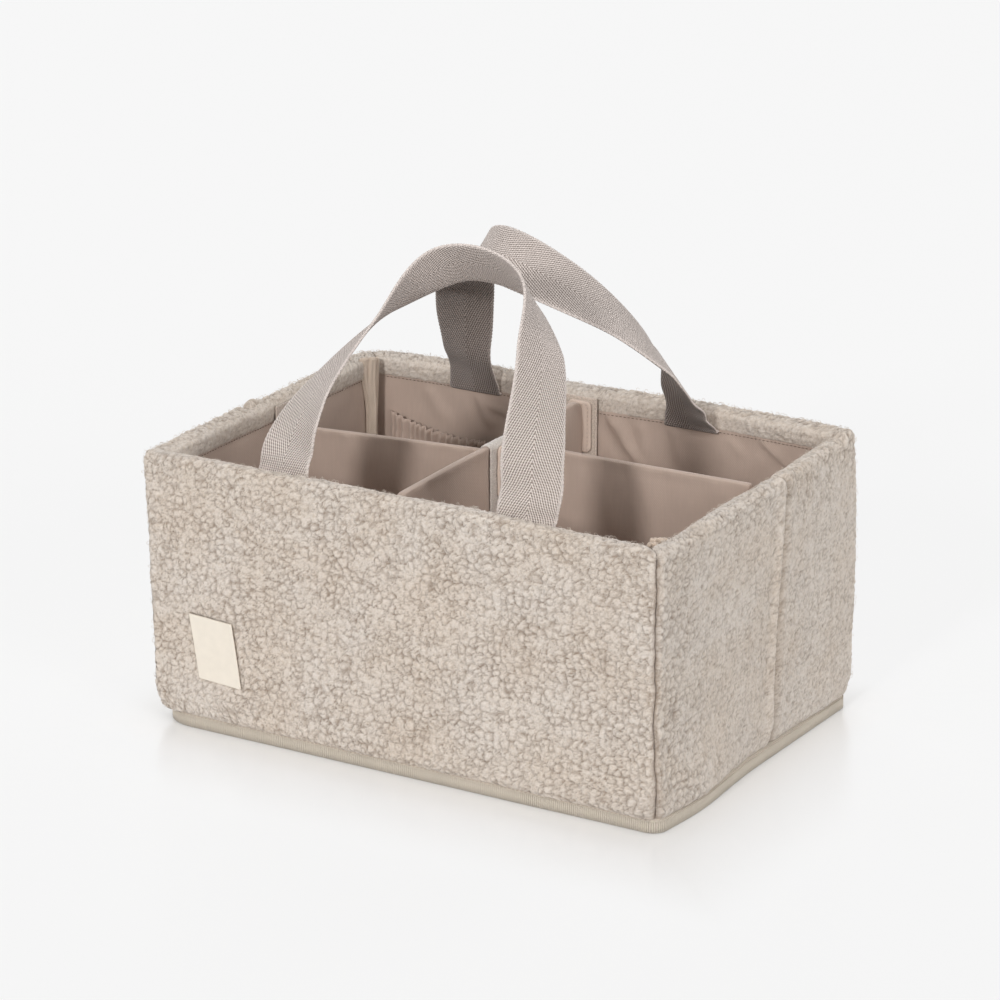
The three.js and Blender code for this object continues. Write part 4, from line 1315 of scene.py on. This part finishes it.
def eased(name, line, widths):
    """Even steps along a strap; its bends at the rim are rounded, and each foot starts to twist
    right above its seam."""
    step, count = 1.2, 20
    run = run_along(line)
    at = np.linspace(0, run[-1], round(run[-1] / step) + 1)
    both = np.column_stack([np.interp(at, run, c) for c in (*line.T, *widths.T)])
    reach = np.arange(-count, count + 1) * step
    weights = np.exp(-(reach / 7) ** 2)
    weights /= weights.sum()
    padded = np.pad(both, ((count, count), (0, 0)), mode="edge")
    softened = np.column_stack([np.convolve(c, weights, mode="valid") for c in padded.T])
    z = both[:, 2]
    share = smooth((z - 176) / 7) * (1 - smooth((z - 215) / 25))
    both = both + (softened - both) * share[:, None]
    line, widths = both[:, :3], both[:, 3:]
    way = unit(np.gradient(line, axis=0))
    widths = unit(widths - way * np.sum(widths * way, axis=1)[:, None])
    left = np.arange(len(at)) < len(at) // 2
    twist = np.where(left, *np.radians(FOOT_TWISTS[name]))
    twist = twist * smooth((z - 175) / 16) * (1 - smooth((z - 205) / 32))
    normal = np.cross(way, widths)
    widths = widths * np.cos(twist)[:, None] + normal * np.sin(twist)[:, None]
    line = line.copy()
    line[:, 1] -= HANDLES[name]["side"] * 17 * np.abs(np.sin(twist)) * (1 - smooth((z - 200) / 25))
    return line, widths


def strap(name):
    """One webbing handle with its sewn ends: it rises in front of the facing, bends at the rim."""
    handle = HANDLES[name]
    line, width = eased(name, *strap_line(handle))
    normal = unit(np.cross(unit(np.gradient(line, axis=0)), width))
    run = run_along(line)
    half_width = sizes().webbing_width / MM / 2
    half = sizes().webbing_thickness / MM / 2
    across = np.linspace(-1, 1, 11) * (half_width - 0.9)
    ring = [(a, half) for a in across]
    ring += [(half_width - 0.25, 0.55 * half), (half_width, 0), (half_width - 0.25, -0.55 * half)]
    ring += [(a, -half) for a in across[::-1]]
    ring += [(0.25 - half_width, -0.55 * half), (-half_width, 0), (0.25 - half_width, 0.55 * half)]
    ring = np.array(ring)
    scallop = 0.22 * np.sin(2 * math.pi * run / 2.3)
    cup = 0.5 * drift(run, 0 * run, 90, 131)
    a = ring[None, :, 0] + np.sign(ring[None, :, 0]) * scallop[:, None] * (
        np.abs(ring[None, :, 0]) > half_width - 0.5)
    b = ring[None, :, 1] + cup[:, None] * (1 - (ring[None, :, 0] / half_width) ** 2)
    points = line[:, None] + a[..., None] * width[:, None] + b[..., None] * normal[:, None]
    index = grid_index(len(line), len(ring), wrap=True)
    faces = quads(index, flip=True).tolist()
    faces += [index[0, :-1].tolist(), index[-1, :-1][::-1].tolist()]
    # Painted shade on the inner face of the rear handle only
    reverse = np.tile((ring[:, 1] < 0) & (handle["side"] > 0), len(line))
    piece = make_piece(
        f"{name}_strap", slump(points.reshape(-1, 3)), faces, finish("webbing"),
        uv=rows_of(a, np.repeat(run[:, None], len(ring), 1)), values={"reverse": reverse})
    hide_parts(name, f"{name}_left_end", f"{name}_right_end")
    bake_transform(piece)


# Stitches, ribs and fibres

FIBRE_DENSITY = 60000.0
FACING_STITCH_HEIGHT = 174.6
FACING_STITCH_INSET = 13.2
FACING_STITCH_MARGIN = 20
BASE_STITCH_HEIGHT = 8.3
RIB_MIDDLE = 4.1
SOCKET_KINDS = {int: "Int", float: "Float", tuple: "Vector"}


def new_tree(name, **inputs):
    """A geometry node tree and the outputs of its input node. Each named input is given by its
    default number or by its kind of socket."""
    tree = bpy.data.node_groups.new(name, "GeometryNodeTree")
    for key, value in inputs.items():
        kind = SOCKET_KINDS.get(type(value), value)
        socket = tree.interface.new_socket(
            name=key.replace("_", " "), in_out="INPUT", socket_type=f"NodeSocket{kind}")
        if kind != value:
            socket.default_value = value
    tree.interface.new_socket(name="Geometry", in_out="OUTPUT", socket_type="NodeSocketGeometry")
    return tree, add_node(tree, "NodeGroupInput", out=None)


def along_path_tree(name, shape):
    """Node tree that sets a small shape at even steps along a path, turned along it."""
    tree, inputs = new_tree(name, Path="Geometry", Pitch=0.003, Shape_size=(0.0003, 0.0003, 0.001),
                            Material="Material")
    curve = add_node(tree, "GeometryNodeMeshToCurve", {"Mesh": inputs["Path"]})
    even = add_node(tree, "GeometryNodeResampleCurve", {"Curve": curve, "Length": inputs["Pitch"]},
                    mode="LENGTH")
    if shape == "stitch":
        copied = add_node(tree, "GeometryNodeMeshUVSphere", {
            "Segments": 6, "Rings": 5, "Radius": 1.0})
    else:
        copied = add_node(tree, "GeometryNodeMeshCylinder", {
            "Vertices": 6, "Radius": 1.0, "Depth": 2.0})
    way = add_node(tree, "GeometryNodeInputTangent")
    turn = add_node(tree, "FunctionNodeAlignRotationToVector", {"Vector": way},
                    axis="Z" if shape == "stitch" else "X")
    spots = add_node(tree, "GeometryNodeInstanceOnPoints", {
        "Points": even, "Instance": copied, "Rotation": turn, "Scale": inputs["Shape size"],
    })
    end_tree(tree, spots, inputs["Material"])
    return tree


def end_tree(tree, instances, material):
    """Makes the copies real and smooth, gives them the full painted light share so that no painted
    crevice shade darkens them, and gives them their material.
    """
    real = add_node(tree, "GeometryNodeRealizeInstances", {"Geometry": instances})
    rounded = add_node(tree, "GeometryNodeSetShadeSmooth", {"Geometry": real})
    # Full painted light share, so that the fleece's painted crevice shade does not darken these
    # copies
    full_painted_light = add_node(tree, "GeometryNodeStoreNamedAttribute", {
        "Geometry": rounded, "Name": "openness", "Value": 1.0}, data_type="FLOAT", domain="POINT")
    done = add_node(tree, "GeometryNodeSetMaterial", {"Geometry": full_painted_light, "Material": material})
    add_node(tree, "NodeGroupOutput", {"Geometry": done}, out=None)


def fibre_tree():
    """Node tree that scatters small looped fibres over a pile, as many as its fuzz asks for."""
    tree, inputs = new_tree("Stray fibres on a pile", Pile="Geometry", Density=1000.0,
                            Fibre_bend=0.0015, Fibre_radius=0.0001, Seed=7, Material="Material")
    fuzz = add_node(tree, "GeometryNodeInputNamedAttribute", {"Name": "fuzz"}, data_type="FLOAT")
    density = add_node(tree, MATH, {0: fuzz, 1: inputs["Density"]}, operation="MULTIPLY")
    spots = add_node(tree, "GeometryNodeDistributePointsOnFaces", {
        "Mesh": inputs["Pile"], "Density": density, "Seed": inputs["Seed"],
    }, None, distribute_method="RANDOM")
    loop = add_node(tree, "GeometryNodeCurveArc", {
        "Resolution": 5, "Radius": inputs["Fibre bend"], "Start Angle": -0.5, "Sweep Angle": 3.4,
    }, mode="RADIUS")
    round_line = add_node(tree, "GeometryNodeCurvePrimitiveCircle", {
        "Resolution": 3, "Radius": inputs["Fibre radius"]}, mode="RADIUS")
    tube = add_node(tree, "GeometryNodeCurveToMesh", {
        "Curve": loop, "Profile Curve": round_line, "Fill Caps": True})
    upright = add_node(tree, "GeometryNodeTransform", {
        "Geometry": tube, "Rotation": (math.pi / 2, 0, 0)})
    lean = add_node(tree, "FunctionNodeRandomValue", {
        0: (-0.7, -0.7, 0), 1: (0.7, 0.7, 2 * math.pi), "Seed": 3}, data_type="FLOAT_VECTOR")
    turn = add_node(tree, "FunctionNodeRotateRotation", {
        "Rotation": spots["Rotation"], "Rotate By": lean}, rotation_space="LOCAL")
    scale = add_node(tree, "FunctionNodeRandomValue", {
        0: (0.6, 0.6, 0.6), 1: (1.3, 1.3, 1.5), "Seed": 5}, data_type="FLOAT_VECTOR")
    copies = add_node(tree, "GeometryNodeInstanceOnPoints", {
        "Points": spots["Points"], "Instance": upright, "Rotation": turn, "Scale": scale,
    })
    end_tree(tree, copies, inputs["Material"])
    return tree


def stray_fibres(walls):
    """Loose loops of fibre that stand off the pile, thickest along the rim."""
    points, faces, fuzz = zip(*walls)
    starts = np.cumsum([0, *map(len, points)])
    faces = np.concatenate([part + start for part, start in zip(faces, starts)])
    pile_copy = make_piece("pile_copy", np.concatenate(points), faces, finish("fleece"),
                           values={"fuzz": np.concatenate(fuzz)})
    size = sizes()
    piece = run_tree("stray_fibres", pile_copy, fibre_tree(), {
        "Density": FIBRE_DENSITY, "Fibre bend": size.fibre_bend, "Fibre radius": size.fibre_radius,
        "Material": finish("fleece"),
    })
    attach(piece, "caddy", "fleece")


def run_tree(name, source, tree, settings):
    """Runs a node tree on an object and returns its result as a plain mesh object."""
    modifier = source.modifiers.new("Along path", "NODES")
    modifier.node_group = tree
    for item in tree.interface.items_tree:
        if item.in_out == "INPUT" and item.name in settings:
            modifier[item.identifier] = settings[item.name]
    source.update_tag()
    bpy.context.view_layer.update()
    evaluated = source.evaluated_get(bpy.context.evaluated_depsgraph_get())
    mesh = bpy.data.meshes.new_from_object(evaluated)
    mesh.name = name
    bpy.data.objects.remove(source)
    return add_object(name, mesh)


def path_object(name, lines):
    """A mesh of separate lines of points in millimetres, each open or closed."""
    points, edges = [], []
    for line, closed in lines:
        start = len(points)
        points.extend((np.asarray(line) * MM).tolist())
        count = len(line)
        edges.extend((start + i, start + i + 1) for i in range(count - 1))
        if closed:
            edges.append((start + count - 1, start))
    mesh = bpy.data.meshes.new(name)
    mesh.from_pydata(points, edges, [])
    return add_object(name, mesh)


def rectangle_line(width, height, border, step=1.5):
    """Closed line inside the edge of an upright piece, x across and z up from its lower edge."""
    x, low, high = width / 2 - border, border, height - border
    line = [(-x, 0, low), (x, 0, low), (x, 0, high), (-x, 0, high), (-x, 0, low)]
    return polyline(line, step)[0][:-1]


def facing_line(wall):
    """Line along the lower edge of the facing of one wall."""
    turn, reach, _ = WALLS[wall]
    half = (HALF_LENGTH if wall in ("front", "rear") else HALF_WIDTH) - FACING_STITCH_MARGIN
    x = np.arange(-half, half, 2.0)
    line = np.stack([x, 0 * x + FACING_STITCH_INSET - reach, 0 * x + FACING_STITCH_HEIGHT], 1)
    return slump(turned(line, turn))


def edge_stitches(size, border, wall, inset, away, low):
    """Closed row of stitches inside the edge of a patch or tab on a wall, away from its plane."""
    line = rectangle_line(*size, border) + np.array([0, away, low])
    return slump(onto_wall(line, wall, inset)), True


def stitches():
    """Rows of thread stitches, one piece for each body and cloth."""
    plan, _ = base_line(1.3, 2.0)
    rows = [
        ("facing_stitches", "caddy", "cotton", "thread",
         [(facing_line(wall), False) for wall in WALLS]),
        ("base_stitches", "caddy", "grosgrain", "pale_thread",
         [(np.column_stack([plan, np.full(len(plan), BASE_STITCH_HEIGHT)]), True)]),
        ("patch_stitches", "caddy", "hook_and_loop", "pale_thread",
         [edge_stitches(PATCH_SIZE, 1.5, wall, PATCH_INSET, 1.0, PATCH_TOP - PATCH_SIZE[1])
          for wall in WALLS]),
    ]
    for body, tabs in (("cross_divider", {"front": "front", "rear": "rear"}),
                       ("left_divider", {"outer": "left"}), ("right_divider", {"outer": "right"})):
        rows.append((f"{body}_stitches", body, "cotton", "pale_thread", [
            edge_stitches(TAB_SIZE, 2.4, wall, TAB_INSET, 2.0, node_box(f"{body}_{end}_tab")[0][2])
            for end, wall in tabs.items()]))
    tree = along_path_tree("Stitches along a seam", "stitch")
    size = sizes()
    for name, body, slot, thread, lines in rows:
        piece = run_tree(name, path_object(f"{name}_path", lines), tree, {
            "Pitch": size.stitch_pitch, "Material": finish(thread),
            "Shape size": (size.thread_radius, size.thread_radius, size.stitch_length / 2),
        })
        attach(piece, body, slot)


def base_ribs():
    """The ribs of the base tape, set side by side round the base."""
    step = 1.5
    plan, outward = base_line(0.45, step)
    plan = plan + outward * tape_wobble(len(plan), step)[:, None]
    line = np.column_stack([plan, np.full(len(plan), RIB_MIDDLE)])
    pitch = sizes().rib_pitch
    tree = along_path_tree("Ribs along a tape", "rib")
    piece = run_tree("base_tape_ribs", path_object("rib_path", [(line, True)]), tree, {
        "Pitch": pitch, "Material": finish("grosgrain"),
        "Shape size": (pitch * 0.42, 0.00045, 0.0037),
    })
    attach(piece, "caddy", "grosgrain")


# Stage

CAMERA_LENS = 163.961
CAMERA_AZIMUTH = 31.2001
CAMERA_ELEVATION = 18.8502
CAMERA_TARGET = (-11.7415, 13.9030, 142.6485)
CAMERA_DISTANCE = 3009.7
FLOOR_REACH = 15000.0
FLOOR_HEIGHT = -0.05
FLOOR_DIFFUSE = 0.14
FLOOR_DIFFUSE_NEAR = 0.85
FLOOR_BOUNCE = 0.8
FLOOR_GLOW = 0.87
FLOOR_GLOW_NEAR = 0.2
FLOOR_ROUGHNESS = 0.22
FLOOR_GLOSS_NEAR = 0.27
FLOOR_GLOSS_FAR = 0.01
FLOOR_GLOSS_FADE = 0.11
FLOOR_SHADE_FADE = 0.045
WORLD_LIGHT = 0.2
LAMPS = (
    ("Front light", 1.35, 9, (0.02, -0.87, 0.38)),
    ("Left light", 0.5, 30, (-0.86, -0.5, 0.25)),
    ("Right light", 1.25, 30, (0.9, -0.35, 0.33)),
    ("Rear left light", 1.0, 30, (-0.75, 0.65, 0.25)),
    ("Rear right light", 0.9, 30, (0.15, 0.95, 0.25)),
    ("Top light", 0.9, 50, (0.0, 0.0, 1.0)),
)


def sun(name, strength, spread_degrees, direction):
    """A wide lamp that shines from a direction; the sheen of the floor doesn't mirror it."""
    data = bpy.data.lights.new(name, "SUN")
    data.energy = strength
    data.angle = math.radians(spread_degrees)
    lamp = add_object(name, data)
    lamp.visible_glossy = False
    lamp.rotation_mode = "QUATERNION"
    lamp.rotation_quaternion = Vector(direction).to_track_quat("Z", "Y")


def build_stage():
    """Pale floor, plain soft light, and the camera at the photograph's angle."""
    scene = bpy.context.scene
    scene.view_settings.view_transform = "Standard"
    corners = np.array([(-1, -1, 0), (1, -1, 0), (1, 1, 0), (-1, 1, 0)]) * FLOOR_REACH
    corners[:, 2] = FLOOR_HEIGHT
    floor = make_piece("studio_floor", corners, [(0, 1, 2, 3)], finish("floor"))

    world = bpy.data.worlds.new("Studio")
    world.use_nodes = True
    tree = world.node_tree
    tree.nodes.clear()
    plain = add_node(tree, "ShaderNodeBackground", {"Color": (1, 1, 1, 1), "Strength": WORLD_LIGHT})
    pale = add_node(tree, "ShaderNodeBackground", {
        "Color": tuple(colours().floor), "Strength": 1.0})
    whole = add_node(tree, "ShaderNodeMixShader", {0: seen_directly(tree), 1: plain, 2: pale})
    add_node(tree, "ShaderNodeOutputWorld", {"Surface": whole}, out=None)
    scene.world = world

    for lamp in LAMPS:
        sun(*lamp)

    data = bpy.data.cameras.new("Photograph view")
    data.lens = CAMERA_LENS
    data.sensor_width = 36
    data.clip_start, data.clip_end = 0.05, 60
    camera = add_object("Photograph view", data)
    azimuth, elevation = math.radians(CAMERA_AZIMUTH), math.radians(CAMERA_ELEVATION)
    back = Vector((
        math.sin(azimuth) * math.cos(elevation), -math.cos(azimuth) * math.cos(elevation),
        math.sin(elevation),
    ))
    camera.location = (Vector(CAMERA_TARGET) + back * CAMERA_DISTANCE) * MM
    camera.rotation_mode = "QUATERNION"
    camera.rotation_quaternion = (-back).to_track_quat("-Z", "Y")
    scene.camera = camera


# Operators, panel and registration


class CADDY_OT_stage(bpy.types.Operator):
    """Set up floor, light and camera"""

    bl_idname = "caddy.stage"
    bl_label = "Stage"

    def execute(self, context):
        build_stage()
        return {"FINISHED"}


class CADDY_OT_fleece(bpy.types.Operator):
    """Cover the four walls in curly fleece"""

    bl_idname = "caddy.fleece"
    bl_label = "Fleece walls"

    def execute(self, context):
        stray_fibres([fleece_wall(wall, seed) for wall, seed in (
            ("front", 200), ("left", 200), ("rear", 300), ("right", 300))])
        return {"FINISHED"}


class CADDY_OT_lining(bpy.types.Operator):
    """Hang the two cotton linings"""

    bl_idname = "caddy.lining"
    bl_label = "Lining"

    def execute(self, context):
        lining("front_left_lining_cloth", "front_left_lining", 0, 400, FRONT_FOLDS)
        lining("rear_right_lining_cloth", "rear_right_lining", 180, 410, REAR_FOLDS)
        return {"FINISHED"}


class CADDY_OT_boards(bpy.types.Operator):
    """Set the stiffener sheets in the walls"""

    bl_idname = "caddy.boards"
    bl_label = "Wall boards"

    def execute(self, context):
        wall_boards()
        for node in ("base_front_board", "base_rear_board"):
            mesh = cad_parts[node].data
            mesh.materials.clear()
            mesh.materials.append(finish("board"))
        return {"FINISHED"}


class CADDY_OT_base(bpy.types.Operator):
    """Make the base cloth, floor lining and ribbed tape"""

    bl_idname = "caddy.base"
    bl_label = "Base"

    def execute(self, context):
        base_pieces()
        base_ribs()
        return {"FINISHED"}


class CADDY_OT_trim(bpy.types.Operator):
    """Sew on the label, corner tapes and loop patches"""

    bl_idname = "caddy.trim"
    bl_label = "Label, tapes and patches"

    def execute(self, context):
        label_piece()
        seam_tape("rear_left_seam_tape", 0)
        seam_tape("front_right_seam_tape", 180)
        for wall in WALLS:
            wall_patch(wall)
        return {"FINISHED"}


class CADDY_OT_pocket(bpy.types.Operator):
    """Gather the pocket on its elastic"""

    bl_idname = "caddy.pocket"
    bl_label = "Pocket"

    def execute(self, context):
        pocket_pieces()
        return {"FINISHED"}


class CADDY_OT_dividers(bpy.types.Operator):
    """Make the three lift-out dividers"""

    bl_idname = "caddy.dividers"
    bl_label = "Dividers"

    def execute(self, context):
        divider_pieces()
        return {"FINISHED"}


class CADDY_OT_handles(bpy.types.Operator):
    """Sweep the two webbing handles"""

    bl_idname = "caddy.handles"
    bl_label = "Handles"

    def execute(self, context):
        for name in HANDLES:
            strap(name)
        return {"FINISHED"}


class CADDY_OT_stitches(bpy.types.Operator):
    """Sew the visible stitch rows"""

    bl_idname = "caddy.stitches"
    bl_label = "Stitches"

    def execute(self, context):
        stitches()
        return {"FINISHED"}


STEPS = (
    CADDY_OT_stage, CADDY_OT_fleece, CADDY_OT_lining, CADDY_OT_boards, CADDY_OT_base, CADDY_OT_trim,
    CADDY_OT_pocket, CADDY_OT_dividers, CADDY_OT_handles, CADDY_OT_stitches,
)


class CADDY_PT_panel(bpy.types.Panel):
    """Lists the steps of the caddy and its sizes and colours"""

    bl_idname = "CADDY_PT_panel"
    bl_label = "Soft Fleece Caddy"
    bl_space_type = "VIEW_3D"
    bl_region_type = "UI"
    bl_category = "Caddy"

    def draw(self, context):
        column = self.layout.column(align=True)
        for step in STEPS:
            column.operator(step.bl_idname)
        for group in (context.scene.caddy_sizes, context.scene.caddy_colours):
            box = self.layout.box()
            for field in group.__annotations__:
                box.prop(group, field)


CLASSES = (CaddySizes, CaddyColours, *STEPS, CADDY_PT_panel)


def register():
    for made in CLASSES:
        bpy.utils.register_class(made)
    bpy.types.Scene.caddy_sizes = PointerProperty(type=CaddySizes)
    bpy.types.Scene.caddy_colours = PointerProperty(type=CaddyColours)


def unregister():
    del bpy.types.Scene.caddy_colours
    del bpy.types.Scene.caddy_sizes
    for made in reversed(CLASSES):
        bpy.utils.unregister_class(made)


def main():
    """Builds everything."""
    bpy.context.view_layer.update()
    register()
    for step in STEPS:
        group, name = step.bl_idname.split(".")
        getattr(getattr(bpy.ops, group), name)()
        bpy.context.view_layer.update()


if __name__ == "__main__":
    main()
